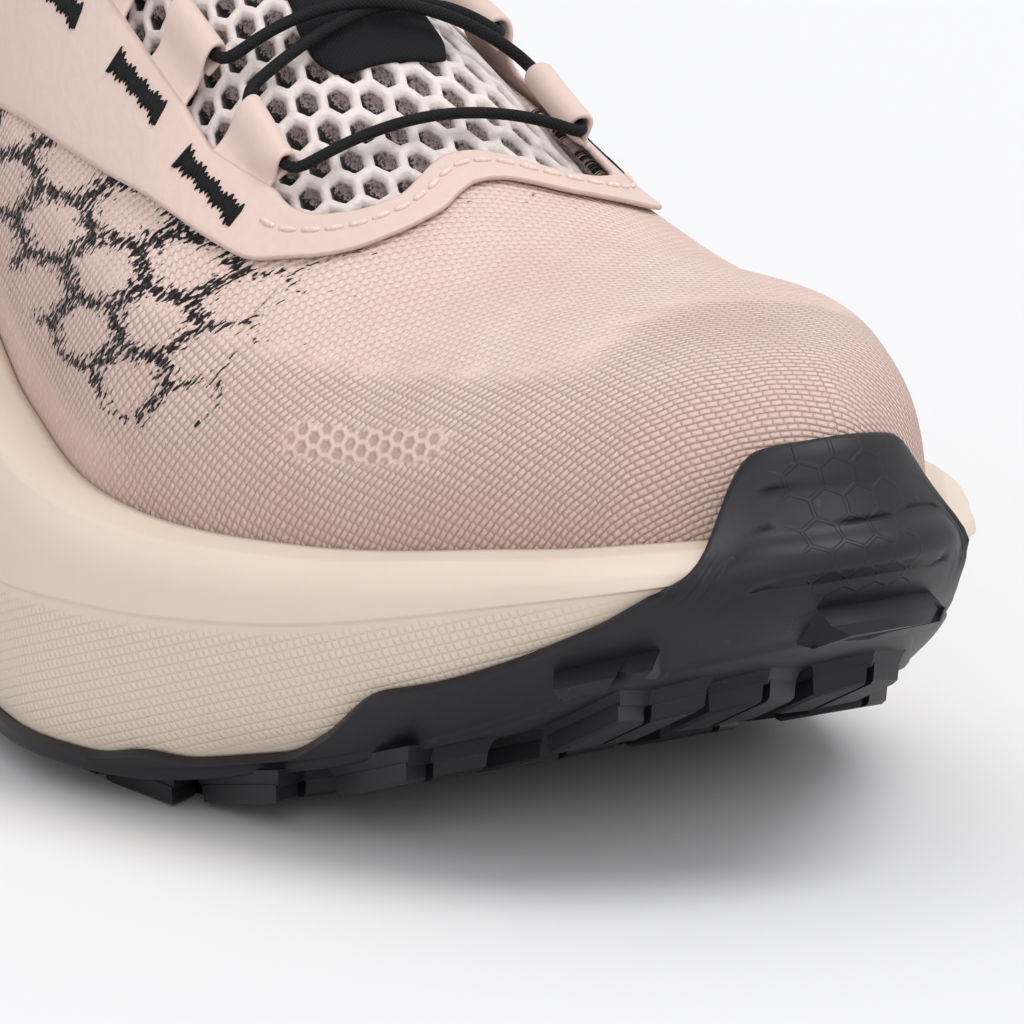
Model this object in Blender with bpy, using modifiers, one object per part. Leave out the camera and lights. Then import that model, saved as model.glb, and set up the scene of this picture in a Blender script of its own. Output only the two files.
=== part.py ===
"""Trail running shoe for the right foot, standing empty on its lugs.

Metres. +X points to the toe, +Y to the inner side of the foot and +Z up. The floor is z = 0, and the
origin lies on it, under the middle of the whole shoe.

Every form is worked out from three functions: the sole's outline seen from above, the profile of the
sole's side, and the last, which is the skin that the upper is stretched over. A place along the shoe is
a share of its length, 0 at the heel and 1 at the toe. A place across the last is the distance from its
ridge, measured over the skin, and is positive on the inner side.
"""

import functools
import math

import bmesh
import bpy
import numpy as np
from mathutils import Matrix

# Driving sizes of the sole
SHOE_LENGTH = 0.280
BALL_WIDTH = 0.106
HEEL_WIDTH = 0.084
HEEL_SIDE_HEIGHT = 0.052
BALL_SIDE_HEIGHT = 0.037
LUG_HEIGHT = 0.0038
TOE_SPRING = 0.030
HEEL_BEVEL = 0.011
ARCH_RISE = 0.003
SIDE_FLARE = 0.008
RIM_ROLL = 0.0034
STEP_OVERHANG = 0.0008
OUTSOLE_THICKNESS = 0.0020
WRAP_THICKNESS = 0.0014
WRAP_EASE = 0.0005
BUMPER_RISE = 0.0105
RECESS_DEPTH = 0.0065
RIM_WIDTH = 0.0075
EDGE_ROUND = 0.0008
LUG_DRAFT = 0.82

# Driving sizes of the upper
TOE_BOX_HEIGHT = 0.064
BALL_HEIGHT = 0.074
INSTEP_HEIGHT = 0.114
ANKLE_HEIGHT = 0.150
HEEL_COLLAR_HEIGHT = 0.102
ANKLE_COLLAR_HEIGHT = 0.089
UPPER_WALL = 0.0020
COLLAR_PADDING = 0.0075
EYESTAY_THICKNESS = 0.0008
EYESTAY_LIFT = 0.0005
TONGUE_THICKNESS = 0.0035
TONGUE_HALF_WIDTH = 0.033
TONGUE_CLEARANCE = 0.0007
STRIP_THICKNESS = 0.0007
INSOLE_THICKNESS = 0.0042
THROAT_TOP = 0.385
SEAM_ALLOWANCE = 0.0016

# Driving sizes of the lacing
LACE_RADIUS = 0.00075
LACE_LEAD = 0.0016
LACE_DIP = 0.0009
LACE_OVERLAP = 0.4
TUNNEL_RADIUS = 0.0021
TUNNEL_BORE = 0.0012
TAB_COUNT = 5
TAB_PITCH = 0.061
TAB_LENGTH = 0.033
FIRST_TAB = 0.6665
TAB_REACH = 0.0214
NOTCH_REACH = 0.0277
NOTCH_SLOPE = 0.0035

# Clearance between pieces that touch
GAP = 0.0003

OUTER, INNER = -1, 1

# Plan of the sole at its widest: share of the length, the width followed, its outer and inner shares
SOLE_OUTLINE = [
    (0.030, HEEL_WIDTH, 0.270, 0.270),
    (0.100, HEEL_WIDTH, 0.445, 0.440),
    (0.200, HEEL_WIDTH, 0.510, 0.490),
    (0.320, HEEL_WIDTH, 0.500, 0.445),
    (0.440, BALL_WIDTH, 0.410, 0.325),
    (0.550, BALL_WIDTH, 0.480, 0.365),
    (0.650, BALL_WIDTH, 0.535, 0.445),
    (0.730, BALL_WIDTH, 0.520, 0.490),
    (0.820, BALL_WIDTH, 0.450, 0.460),
    (0.900, BALL_WIDTH, 0.355, 0.335),
    (0.960, BALL_WIDTH, 0.235, 0.220),
]
TOE_TIP = 0.030

# Underside of the outsole above the lugs' roots: share of the length, the rise followed, its share
UNDERSIDE = [
    (0.00, HEEL_BEVEL, 1.00),
    (0.05, HEEL_BEVEL, 0.42),
    (0.12, HEEL_BEVEL, 0.04),
    (0.18, HEEL_BEVEL, 0.00),
    (0.30, ARCH_RISE, 0.00),
    (0.40, ARCH_RISE, 1.00),
    (0.48, ARCH_RISE, 1.00),
    (0.57, ARCH_RISE, 0.00),
    (0.69, TOE_SPRING, 0.00),
    (0.78, TOE_SPRING, 0.15),
    (0.86, TOE_SPRING, 0.39),
    (0.93, TOE_SPRING, 0.70),
    (1.00, TOE_SPRING, 1.00),
]

# Top edge of the midsole: share of the length, the side height followed, its share
MIDSOLE_RIM = [
    (0.00, HEEL_SIDE_HEIGHT, 1.08),
    (0.10, HEEL_SIDE_HEIGHT, 1.03),
    (0.25, HEEL_SIDE_HEIGHT, 1.00),
    (0.40, HEEL_SIDE_HEIGHT, 1.01),
    (0.47, HEEL_SIDE_HEIGHT, 0.96),
    (0.54, BALL_SIDE_HEIGHT, 1.14),
    (0.62, BALL_SIDE_HEIGHT, 1.01),
    (0.72, BALL_SIDE_HEIGHT, 0.965),
    (0.80, BALL_SIDE_HEIGHT, 0.99),
    (0.90, BALL_SIDE_HEIGHT, 1.09),
    (1.00, BALL_SIDE_HEIGHT, 1.20),
]

# Side of the midsole: share of its height below the step, or 1 and the share above it, then the shares
# of the flare, of the step's overhang and of the rim's roll that it stands in from the outline
MIDSOLE_SIDE = [
    (0.00, 1.00, 1.0, 0.00),
    (0.18, 0.60, 1.0, 0.00),
    (0.45, 0.26, 1.0, 0.00),
    (0.75, 0.06, 1.0, 0.00),
    (0.95, 0.00, 1.0, 0.00),
    (1.00, 0.00, 0.0, 0.00),
    (1.40, 0.00, 0.0, 0.08),
    (1.75, 0.00, 0.0, 0.42),
    (2.00, 0.00, 0.0, 1.00),
]

# Flare of the lower side: share of the length, outer and inner shares of the side's flare
FLARE = [
    (0.00, 1.00, 1.00),
    (0.15, 0.75, 0.75),
    (0.30, 0.45, 0.55),
    (0.45, 0.20, 0.45),
    (0.62, 0.20, 0.45),
    (0.72, 0.70, 0.70),
    (0.80, 1.00, 1.00),
    (1.00, 1.00, 1.00),
]

# Ledge between the rim's roll and the upper: share of the length, outer and inner shares of its width
LEDGE = [
    (0.00, 1.00, 1.00),
    (0.80, 1.00, 1.00),
    (0.90, 0.92, 0.48),
    (0.96, 0.75, 0.33),
    (1.00, 0.40, 0.38),
]

# Step line of the side: share of the length, share of the side's height
STEP_LINE = [
    (0.00, 0.52),
    (0.30, 0.44),
    (0.50, 0.46),
    (0.62, 0.60),
    (0.72, 0.70),
    (1.00, 0.71),
]

# Top edge of the rubber on the side: share of the way round from the heel to the toe, outer and inner
# levels. Under 1 is a share of the side's height below the step, 2 is the rim and 3 the bumper's top.
RUBBER_EDGE = [
    (0.000, 0.45, 0.45),
    (0.160, 0.35, 0.35),
    (0.250, 0.12, 0.12),
    (0.470, 0.04, 0.04),
    (0.618, 0.03, 0.04),
    (0.645, 0.10, 0.10),
    (0.666, 0.04, 0.04),
    (0.700, 0.03, 0.04),
    (0.723, 0.14, 0.05),
    (0.756, 0.40, 0.14),
    (0.783, 0.38, 0.30),
    (0.810, 0.41, 0.27),
    (0.856, 0.61, 0.36),
    (0.878, 0.88, 0.60),
    (0.891, 1.12, 1.10),
    (0.907, 1.90, 2.60),
    (0.915, 2.70, 2.88),
    (0.922, 2.90, 2.92),
    (0.935, 2.95, 2.95),
    (0.960, 2.98, 2.98),
    (1.000, 3.00, 3.00),
]
RIM_LEVEL = 2
LANDING_LEVEL = 2.45
WRAP_LEVELS = (0.18, 0.45, 0.75, 1.00, 1.40, 1.75, 2.00, LANDING_LEVEL, 3.00)
LEAST_WRAP = 0.01
WAIST_TURN = 0.60
TILT_STEP = 0.03

# Where the ridge of the last lies for a section that starts at this share of the length
RIDGE_ALONG = [
    (0.00, 0.200),
    (0.10, 0.210),
    (0.20, 0.245),
    (0.30, 0.315),
    (0.40, 0.402),
    (0.60, 0.600),
    (0.75, 0.748),
    (0.85, 0.825),
    (0.93, 0.873),
    (1.00, 0.890),
]

# Height of the ridge: share of the length, the height followed, its share, and the ridge's place
# across, as a share of the ball width towards the inner side
RIDGE = [
    (0.20, ANKLE_HEIGHT, 1.00, 0.00),
    (0.26, ANKLE_HEIGHT, 0.99, 0.00),
    (0.32, ANKLE_HEIGHT, 0.93, 0.00),
    (0.40, INSTEP_HEIGHT, 1.05, 0.00),
    (0.50, INSTEP_HEIGHT, 0.95, -0.01),
    (0.60, BALL_HEIGHT, 1.25, -0.015),
    (0.70, BALL_HEIGHT, 1.00, -0.01),
    (0.80, TOE_BOX_HEIGHT, 1.025, 0.04),
    (0.86, TOE_BOX_HEIGHT, 1.01, 0.055),
    (0.89, TOE_BOX_HEIGHT, 1.000, 0.062),
]

# Fullness of the sections: share of the length, then the powers of the plan and of the height on the
# outer side, and on the inner side. Under 1 is boxier than an ellipse, and over 1 is leaner.
FULLNESS = [
    (0.00, 0.60, 1.00, 0.60, 1.00),
    (0.20, 0.60, 1.00, 0.60, 1.00),
    (0.40, 0.95, 1.10, 0.95, 1.10),
    (0.60, 1.08, 1.14, 1.00, 1.05),
    (0.75, 1.03, 1.07, 0.95, 0.95),
    (0.88, 0.86, 0.92, 0.57, 0.83),
    (1.00, 0.74, 0.88, 0.54, 0.84),
]

# Collar line seen from the side: share of the length, the height followed, its share
COLLAR = [
    (-0.05, HEEL_COLLAR_HEIGHT, 1.02),
    (0.03, HEEL_COLLAR_HEIGHT, 1.00),
    (0.09, HEEL_COLLAR_HEIGHT, 0.95),
    (0.17, ANKLE_COLLAR_HEIGHT, 1.00),
    (0.25, ANKLE_COLLAR_HEIGHT, 1.02),
    (0.32, ANKLE_COLLAR_HEIGHT, 1.15),
    (0.38, INSTEP_HEIGHT, 0.99),
    (0.44, INSTEP_HEIGHT, 1.17),
]

# Eyestay in front of the tabs, from the outside to the middle: share of the length and distance from
# the ridge, of its inner edge and then of its outer edge. The middle reaches back between two lobes.
EYESTAY_FRONT = [
    (0.6760, 0.0232, 0.6820, 0.0321),
    (0.6830, 0.0228, 0.6895, 0.0310),
    (0.6920, 0.0215, 0.7030, 0.0278),
    (0.7000, 0.0190, 0.7160, 0.0245),
    (0.7065, 0.0154, 0.7255, 0.0200),
    (0.7078, 0.0120, 0.7285, 0.0145),
    (0.7024, 0.0081, 0.7260, 0.0092),
    (0.6952, 0.0045, 0.7185, 0.0050),
    (0.6922, 0.0020, 0.7140, 0.0022),
    (0.6917, 0.0000, 0.7130, 0.0000),
]

# Outer edge of the eyestay beside the tabs: share of the length, distance from the ridge
EYESTAY_SIDE = [
    (0.350, 0.0590),
    (0.475, 0.0515),
    (0.575, 0.0429),
    (0.682, 0.0321),
]

# Lugs: share of the length, shares of the sole's half width, length along, width across, skew
LUG_ROWS = [
    (0.055, (-0.45, 0.45), 0.013, 0.017, 0.0),
    (0.115, (-0.68, 0.0, 0.68), 0.012, 0.014, 0.25),
    (0.180, (-0.72, -0.24, 0.24, 0.72), 0.012, 0.012, 0.25),
    (0.245, (-0.72, -0.24, 0.24, 0.72), 0.012, 0.012, 0.25),
    (0.310, (-0.70, 0.70), 0.012, 0.013, 0.25),
    (0.390, (-0.68, 0.66), 0.012, 0.012, 0.0),
    (0.470, (-0.70, 0.66), 0.012, 0.012, 0.0),
    (0.550, (-0.74, -0.26, 0.22, 0.70), 0.013, 0.012, -0.25),
    (0.615, (-0.76, -0.28, 0.20, 0.70), 0.013, 0.013, -0.25),
    (0.685, (-0.78, -0.30, 0.20, 0.72), 0.013, 0.013, -0.25),
    (0.758, (-0.82, -0.28, 0.24, 0.76), 0.014, 0.013, -0.25),
    (0.835, (-0.84, -0.34, 0.22, 0.78), 0.013, 0.012, -0.25),
    (0.912, (-0.50, 0.08, 0.66), 0.013, 0.013, -0.20),
]

# Lugs that climb the side: where they start and end, as shares of the length short of the toe and
# negative on the outer side, and the levels of the side
EDGE_LUGS = [
    (-0.078, -0.040, 0.03, 0.26),
    (-0.003, 0.016, 0.03, 0.42),
]
LUG_STATIONS = 5
EDGE_LUG_REACH = 0.0036
EDGE_LUG_DRAFT = 0.16

# Tongue: share of the length, shares of its half width and thickness, and how far its front dips
TONGUE = [
    (0.290, 0.80, 1.50, 0.0),
    (0.300, 0.93, 2.10, 0.0),
    (0.330, 1.00, 2.20, 0.0),
    (0.370, 1.00, 1.80, 0.0),
    (0.420, 1.00, 1.20, 0.0),
    (0.480, 1.00, 1.00, 0.0),
    (0.640, 1.00, 1.00, 0.0),
    (0.680, 1.00, 1.00, 0.3),
    (0.712, 0.95, 0.80, 1.0),
]
TONGUE_DIP = 0.0022

# Plain strip down the tongue: share of the length, half width
STRIP = [
    (0.300, 0.0079),
    (0.325, 0.0079),
    (0.350, 0.0079),
    (0.380, 0.0079),
    (0.410, 0.0079),
    (0.440, 0.0079),
    (0.470, 0.0079),
    (0.500, 0.0079),
    (0.530, 0.0079),
    (0.555, 0.0079),
    (0.580, 0.0079),
    (0.602, 0.0084),
    (0.614, 0.0095),
    (0.626, 0.0097),
    (0.640, 0.0078),
]

# Share of the collar's height at which its padding starts, share over which it grows, and where it ends
PAD_FOOT = 0.66
PAD_SPAN = 0.25
PAD_FRONT = 0.36
PAD_FADE = 0.08

HOLE_WIDENING = 1.03
TONGUE_TAPER = 4
TONGUE_CROWN = 0.0020
TUNNEL_LIFT = EYESTAY_LIFT + TUNNEL_RADIUS
TUNNEL_OVERRUN = 0.01
SKIN_STEPS = (0.004, 0.0012)
MERGE_DISTANCE = 1e-6
LACE_EASE = 0.6

SKIN_ROWS = (0.06, 0.14, 0.24, 0.36, 0.48, 0.60, 0.72, 0.84, 0.93)
COLUMNS = 30
OUTLINE_SAMPLES = 60
SECTION_SAMPLES = 48
EYESTAY_ROWS = 4
TONGUE_ROWS = 9
TONGUE_STATIONS = 16
STRIP_ROWS = 5
TUNNEL_STATIONS = 3
TUNNEL_SIDES = 8
LACE_STATIONS = 11
LACE_SIDES = 6


def smooth_curve(rows):
    """A smooth function through rows of (place, value, ...), which never overshoots them."""
    table = np.array(rows, float)
    places, values = table[:, 0], table[:, 1:]
    steps = np.diff(places)
    slopes = np.diff(values, axis=0) / steps[:, None]
    tangents = np.zeros_like(values)
    tangents[0], tangents[-1] = slopes[0], slopes[-1]
    for k in range(1, len(places) - 1):
        before, after = slopes[k - 1], slopes[k]
        level = before * after <= 0
        weights = (2 * steps[k] + steps[k - 1], steps[k] + 2 * steps[k - 1])
        safe_before = np.where(level, 1.0, before)
        safe_after = np.where(level, 1.0, after)
        mean = sum(weights) / (weights[0] / safe_before + weights[1] / safe_after)
        tangents[k] = np.where(level, 0.0, mean)

    def at(place):
        place = min(max(place, places[0]), places[-1])
        k = min(np.searchsorted(places, place, side="right") - 1, len(steps) - 1)
        t = (place - places[k]) / steps[k]
        leave, arrive = steps[k] * tangents[k], steps[k] * tangents[k + 1]
        return hermite(t, values[k], leave, values[k + 1], arrive)

    return at


def hermite(t, start, leave, end, arrive):
    """Cubic from start to end, with these derivatives at its ends."""
    rise = t * t * (3 - 2 * t)
    return (1 - rise) * start + t * (1 - t) ** 2 * leave + rise * end - t * t * (1 - t) * arrive


def sized(rows):
    """Rows of (place, size, share, ...) as (place, size times share, ...)."""
    return [(row[0], row[1] * row[2], *row[3:]) for row in rows]


def closed_spline(points, samples):
    """A smooth closed curve through a ring of points, with this many samples a span."""
    points = np.array(points, float)
    ends = np.roll(points, -1, axis=0)
    spans = np.sqrt(np.linalg.norm(ends - points, axis=1))[:, None]
    slopes = (ends - points) / spans
    spans_before, slopes_before = np.roll(spans, 1, axis=0), np.roll(slopes, 1, axis=0)
    tangents = (slopes_before * spans + slopes * spans_before) / (spans + spans_before)
    leave, arrive = tangents * spans, np.roll(tangents, -1, axis=0) * spans
    t = (np.arange(samples) / samples)[None, :, None]
    curve = hermite(t, points[:, None], leave[:, None], ends[:, None], arrive[:, None])
    return curve.reshape(-1, 2)


def outline_sides():
    """The sole's outline from the heel to the toe, as rows of place and normal: {side: x, y, nx, ny}."""
    heel, toe = (0.0, 0.0), (SHOE_LENGTH, TOE_TIP * BALL_WIDTH)
    outer = [(a * SHOE_LENGTH, -w * out) for a, w, out, _ in SOLE_OUTLINE]
    inner = [(a * SHOE_LENGTH, w * inn) for a, w, _, inn in SOLE_OUTLINE]
    path = closed_spline([heel, *outer, toe, *reversed(inner)], OUTLINE_SAMPLES)
    path[:, 0] -= SHOE_LENGTH / 2
    ahead = np.roll(path, -1, axis=0) - np.roll(path, 1, axis=0)
    normals = np.column_stack([ahead[:, 1], -ahead[:, 0]])
    normals /= np.linalg.norm(normals, axis=1)[:, None]
    whole = np.column_stack([path, normals])
    turn = (len(SOLE_OUTLINE) + 1) * OUTLINE_SAMPLES
    back = np.vstack([whole[turn:], whole[:1]])[::-1]
    return {OUTER: whole[: turn + 1], INNER: back}


SIDES = outline_sides()
underside_rise = smooth_curve(sized(UNDERSIDE))
rim_height = smooth_curve(sized(MIDSOLE_RIM))
flare = smooth_curve(FLARE)
ledge = smooth_curve(LEDGE)
step_share = smooth_curve(STEP_LINE)
rubber_edge = smooth_curve(RUBBER_EDGE)
ridge_along = smooth_curve(RIDGE_ALONG)
ridge_form = smooth_curve(sized(RIDGE))
fullness = smooth_curve(FULLNESS)
collar_height = smooth_curve(sized(COLLAR))
eyestay_side = smooth_curve(EYESTAY_SIDE)
tongue_form = smooth_curve(TONGUE)


def outline(side, along):
    """(point, outward normal) in plan on the sole's outline."""
    rows = SIDES[side]
    x = (along - 0.5) * SHOE_LENGTH
    y, *normal = [np.interp(x, rows[:, 0], rows[:, k]) for k in (1, 2, 3)]
    return np.array([x, y]), np.array(normal) / np.linalg.norm(normal)


def share_of(x):
    return x / SHOE_LENGTH + 0.5


def along_at(turn):
    """Share of the length at a share of the way round, which is finer at the heel and the toe."""
    return (1 - math.cos(math.pi * turn)) / 2


def turn_at(along):
    return math.acos(1 - 2 * min(max(along, 0.0), 1.0)) / math.pi


def underside(along):
    return LUG_HEIGHT + float(underside_rise(along)[0])


def midsole_bottom(along):
    return underside(along) + OUTSOLE_THICKNESS + GAP


def rim(along):
    return float(rim_height(along)[0])


def inset_point(side, along, inset):
    """A point in plan at a distance in from the outline."""
    point, normal = outline(side, along)
    return point - normal * inset


def side_inset(side, along, level):
    """How far the midsole's side stands in from the outline at a level of its profile."""
    table = np.array(MIDSOLE_SIDE)
    flared, hung, rolled = [np.interp(level, table[:, 0], table[:, k]) for k in (1, 2, 3)]
    spread = SIDE_FLARE * float(flare(along)[0 if side == OUTER else 1])
    return flared * spread + hung * STEP_OVERHANG + rolled * RIM_ROLL


def side_point(side, along, level):
    """A point of the midsole's side: levels 0 to 1 are below its step, and 1 to 2 are above."""
    plan = inset_point(side, along, side_inset(side, along, level))
    low, high = midsole_bottom(share_of(plan[0])), rim(along)
    step = float(step_share(along)[0])
    share = level * step if level <= 1 else step + (level - 1) * (1 - step)
    return np.array([*plan, low + share * (high - low)])


def ridge_point(along):
    ridge = float(ridge_along(along)[0])
    height, across = ridge_form(ridge)
    return np.array([(ridge - 0.5) * SHOE_LENGTH, across * BALL_WIDTH, height])


def ledge_inset(side, along):
    """How far in from the outline the upper's skin stands."""
    return RIM_ROLL + RIM_WIDTH * float(ledge(along)[0 if side == OUTER else 1])


def feather_point(side, along):
    """Where the upper's skin leaves the midsole's rim."""
    plan = inset_point(side, along, ledge_inset(side, along))
    return np.array([*plan, rim(along)])


def powers(side, along):
    return fullness(along)[:2] if side == OUTER else fullness(along)[2:]


def last_point(side, along, share):
    """A point of the last, from the feather line, share 0, over the section to the ridge, share 1."""
    foot, top = feather_point(side, along), ridge_point(along)
    plan_power, climb_power = powers(side, along)
    turn = share * math.pi / 2
    inward = 1 - max(math.cos(turn), 0.0) ** plan_power
    climb = math.sin(turn) ** climb_power
    return foot + (top - foot) * np.array([inward, inward, climb])


@functools.lru_cache(maxsize=None)
def section(side, along):
    """Points of the last's section from its ridge down to the feather line, and their distances."""
    shares = np.linspace(1.0, 0.0, SECTION_SAMPLES + 1)
    points = np.array([last_point(side, along, share) for share in shares])
    steps = np.linalg.norm(np.diff(points, axis=0), axis=1)
    return points, np.concatenate([[0.0], np.cumsum(steps)])


def skin_point(along, across):
    """A point of the last at a distance across from its ridge, measured over the skin."""
    points, distances = section(OUTER if across < 0 else INNER, round(along, 5))
    return np.array([np.interp(abs(across), distances, points[:, k]) for k in range(3)])


def skin(along, across, lift=0.0):
    """A point at a distance above the last's skin."""
    ahead = skin_point(along + SKIN_STEPS[0], across) - skin_point(along - SKIN_STEPS[0], across)
    over = skin_point(along, across + SKIN_STEPS[1]) - skin_point(along, across - SKIN_STEPS[1])
    normal = np.cross(ahead, over)
    return skin_point(along, across) + lift * normal / np.linalg.norm(normal)


def bumper_point(side, along, level):
    """The form that the rubber lies on: the midsole's side, then from its rim up the toe of the last."""
    if level <= RIM_LEVEL:
        return side_point(side, along, level)
    foot, top = feather_point(side, along), ridge_point(along)
    rise = (max(level, LANDING_LEVEL) - RIM_LEVEL) * BUMPER_RISE
    climb = rise / (top[2] - foot[2])
    turn = math.asin(climb ** (1 / powers(side, along)[1]))
    landing = last_point(side, along, turn / (math.pi / 2))
    part = min((level - RIM_LEVEL) / (LANDING_LEVEL - RIM_LEVEL), 1.0)
    return side_point(side, along, RIM_LEVEL) * (1 - part) + landing * part


def rubber_point(side, along, level, out):
    """A point at a distance out from the form that the rubber lies on."""
    _, normal = outline(side, along)
    above, below = (bumper_point(side, along, level + step) for step in (TILT_STEP, -TILT_STEP))
    run = above - below
    tilt = math.atan2(-float(run[:2] @ normal), run[2])
    outward = np.array([*(normal * math.cos(tilt)), math.sin(tilt)])
    eased = out + WRAP_EASE * min(level / RIM_LEVEL, 1.0)
    return bumper_point(side, along, level) + eased * outward


def wrap_top(side, along):
    outer, inner = rubber_edge(turn_at(along))
    return float(outer if side == OUTER else inner)


def tab_span(index):
    """Front and back of a lacing tab, as shares of the length. Tab 0 is the front one."""
    front = FIRST_TAB - index * TAB_PITCH
    return front, front - TAB_LENGTH


def new_object(name, points, faces, material, shown=True):
    """A named object from points and faces, with its faces turned outwards."""
    mesh = bpy.data.meshes.new(name)
    mesh.from_pydata([tuple(p) for p in points], [], faces)
    work = bmesh.new()
    work.from_mesh(mesh)
    bmesh.ops.remove_doubles(work, verts=work.verts, dist=MERGE_DISTANCE)
    bmesh.ops.dissolve_degenerate(work, dist=MERGE_DISTANCE, edges=work.edges)
    bmesh.ops.recalc_face_normals(work, faces=work.faces)
    work.to_mesh(mesh)
    work.free()
    obj = bpy.data.objects.new(name, mesh)
    if shown:
        mesh.materials.append(material)
        shoe.objects.link(obj)
    else:
        cutters.objects.link(obj)
        obj.hide_render = True
        obj.display_type = "WIRE"
    return obj


def finish_smooth(obj, degrees=35):
    obj.data.shade_smooth()
    obj.data.set_sharp_from_angle(angle=math.radians(degrees))


def loft(rings):
    """(points, faces) of quads between closed rings of equal length."""
    count = len(rings[0])
    points = [p for ring in rings for p in ring]
    faces = []
    for k in range(len(rings) - 1):
        for i in range(count):
            j = (i + 1) % count
            faces.append((k * count + i, k * count + j, (k + 1) * count + j, (k + 1) * count + i))
    return points, faces


def rungs(first, size):
    """Faces that close a ring by rungs from its outer to its inner side."""
    faces = []
    for i in range(size // 2):
        corners = [first + corner % size for corner in (i, i + 1, size - i - 1, size - i)]
        faces.append(tuple(dict.fromkeys(corners)))
    return faces


def ring_of(place, columns):
    """A ring round the shoe: the outer side from heel to toe, then the inner side back to the heel."""
    return [place(OUTER, a) for a in columns] + [place(INNER, a) for a in columns[1:-1][::-1]]


def loft_round(name, places, columns, material):
    """A closed solid from rings round the shoe, each a function of side and share of the length."""
    rings = [ring_of(place, columns) for place in places]
    points, faces = loft(rings)
    size = len(rings[0])
    faces += rungs(0, size) + rungs((len(rings) - 1) * size, size)
    return new_object(name, points, faces, material)


def columns_round(count, extra=()):
    turns = sorted({round(k / count, 4) for k in range(count + 1)} | set(extra))
    return [along_at(turn) for turn in turns]


def sole_columns():
    """Columns that hold every corner of the rubber's edge, for the two pieces that meet along it."""
    return columns_round(COLUMNS, [turn for turn, _, _ in RUBBER_EDGE if turn > WAIST_TURN])


def apply_boolean(obj, other, operation):
    """Cuts or joins with another object now, and removes that object."""
    modifier = obj.modifiers.new(operation, "BOOLEAN")
    modifier.solver = "EXACT"
    modifier.use_self = operation == "UNION"
    modifier.operation = operation
    modifier.object = other
    bake(obj)
    bpy.data.objects.remove(other)


def bake(obj):
    """Replaces the object's mesh with what its modifiers make of it."""
    graph = bpy.context.evaluated_depsgraph_get()
    graph.update()
    material = obj.data.materials[0] if obj.data.materials else None
    made = bpy.data.meshes.new_from_object(obj.evaluated_get(graph))
    obj.modifiers.clear()
    obj.data = made
    made.materials.clear()
    if material:
        made.materials.append(material)


def prism(name, outline_points, low, high, upright=True):
    """A cutter: an outline in plan, or one seen from the side, extruded between two levels."""
    rings = [
        [(p[0], p[1], level) if upright else (p[0], level, p[1]) for p in outline_points]
        for level in (low, high)
    ]
    points, faces = loft(rings)
    count = len(outline_points)
    faces += [tuple(range(count))[::-1], tuple(range(count, 2 * count))]
    return new_object(name, points, faces, None, shown=False)


def make_material(name, colour, roughness):
    material = bpy.data.materials.new(name)
    material.use_nodes = True
    shader = material.node_tree.nodes["Principled BSDF"]
    shader.inputs["Base Color"].default_value = (*colour, 1.0)
    shader.inputs["Roughness"].default_value = roughness
    material.diffuse_color = (*colour, 1.0)
    return material


def build_midsole(material):
    """One foam block: flared side with its step, rolled rim, and the recess that holds the upper."""

    def in_recess(drop):
        return lambda side, a: (*inset_point(side, a, ledge_inset(side, a) - GAP), rim(a) - drop)

    places = [lambda side, a, s=row[0]: side_point(side, a, s) for row in MIDSOLE_SIDE]
    places += [in_recess(0.0), in_recess(RECESS_DEPTH)]
    midsole = loft_round("midsole", places, sole_columns(), material)
    finish_smooth(midsole)


def build_outsole(material):
    """Rubber sheet under the midsole, wrapped up its side and over the toe, with its lugs."""
    def under(height, inset):
        def place(side, a):
            plan = inset_point(side, a, side_inset(side, a, 0) + inset)
            return (*plan, height(share_of(plan[0])))
        return place

    def wrap(level, out):
        def place(side, a):
            return rubber_point(side, a, min(level, max(wrap_top(side, a), LEAST_WRAP)), out)
        return place

    places = [under(underside, 0.0), under(lambda a: underside(a) + EDGE_ROUND, -WRAP_THICKNESS)]
    places += [wrap(level, WRAP_THICKNESS + GAP) for level in WRAP_LEVELS]
    places += [wrap(level, GAP) for level in reversed(WRAP_LEVELS)]
    places += [under(lambda a: midsole_bottom(a) - GAP, -GAP)]
    outsole = loft_round("outsole", places, sole_columns(), material)
    apply_boolean(outsole, build_lugs(), "UNION")
    apply_boolean(outsole, build_edge_lugs(), "UNION")
    finish_smooth(outsole)


def build_lugs():
    """All lugs as separate blocks in one helper, each an arrow head with drafted sides."""
    points, faces = [], []
    for along, places, length, width, skew in LUG_ROWS:
        for across in places:
            side = OUTER if across < 0 else INNER
            edge = inset_point(side, along, side_inset(side, along, 0))
            lean = math.copysign(skew * length, across) if across else 0.0
            back, front, tip = lean * 0.4 - length / 2, length / 2 - lean, lean * 0.3
            head = [
                (back, -width / 2),
                (front, -width / 2),
                (length / 2 + tip, 0.0),
                (front, width / 2),
                (back, width / 2),
                (-length / 2 - lean * 0.2, 0.0),
            ]
            first, count = len(points), len(head)
            for scale, level in ((1.0, OUTSOLE_THICKNESS / 2), (LUG_DRAFT, -LUG_HEIGHT)):
                for x, y in head:
                    spot = (edge[0] + x * scale, edge[1] * abs(across) + y * scale)
                    points.append((*spot, underside(share_of(spot[0])) + level))
            for i in range(count):
                j = (i + 1) % count
                faces.append((first + i, first + j, first + count + j, first + count + i))
            faces.append(tuple(first + i for i in range(count)))
            faces.append(tuple(first + count + i for i in reversed(range(count))))
    return new_object("lug_blocks", points, faces, None, shown=False)


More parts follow.
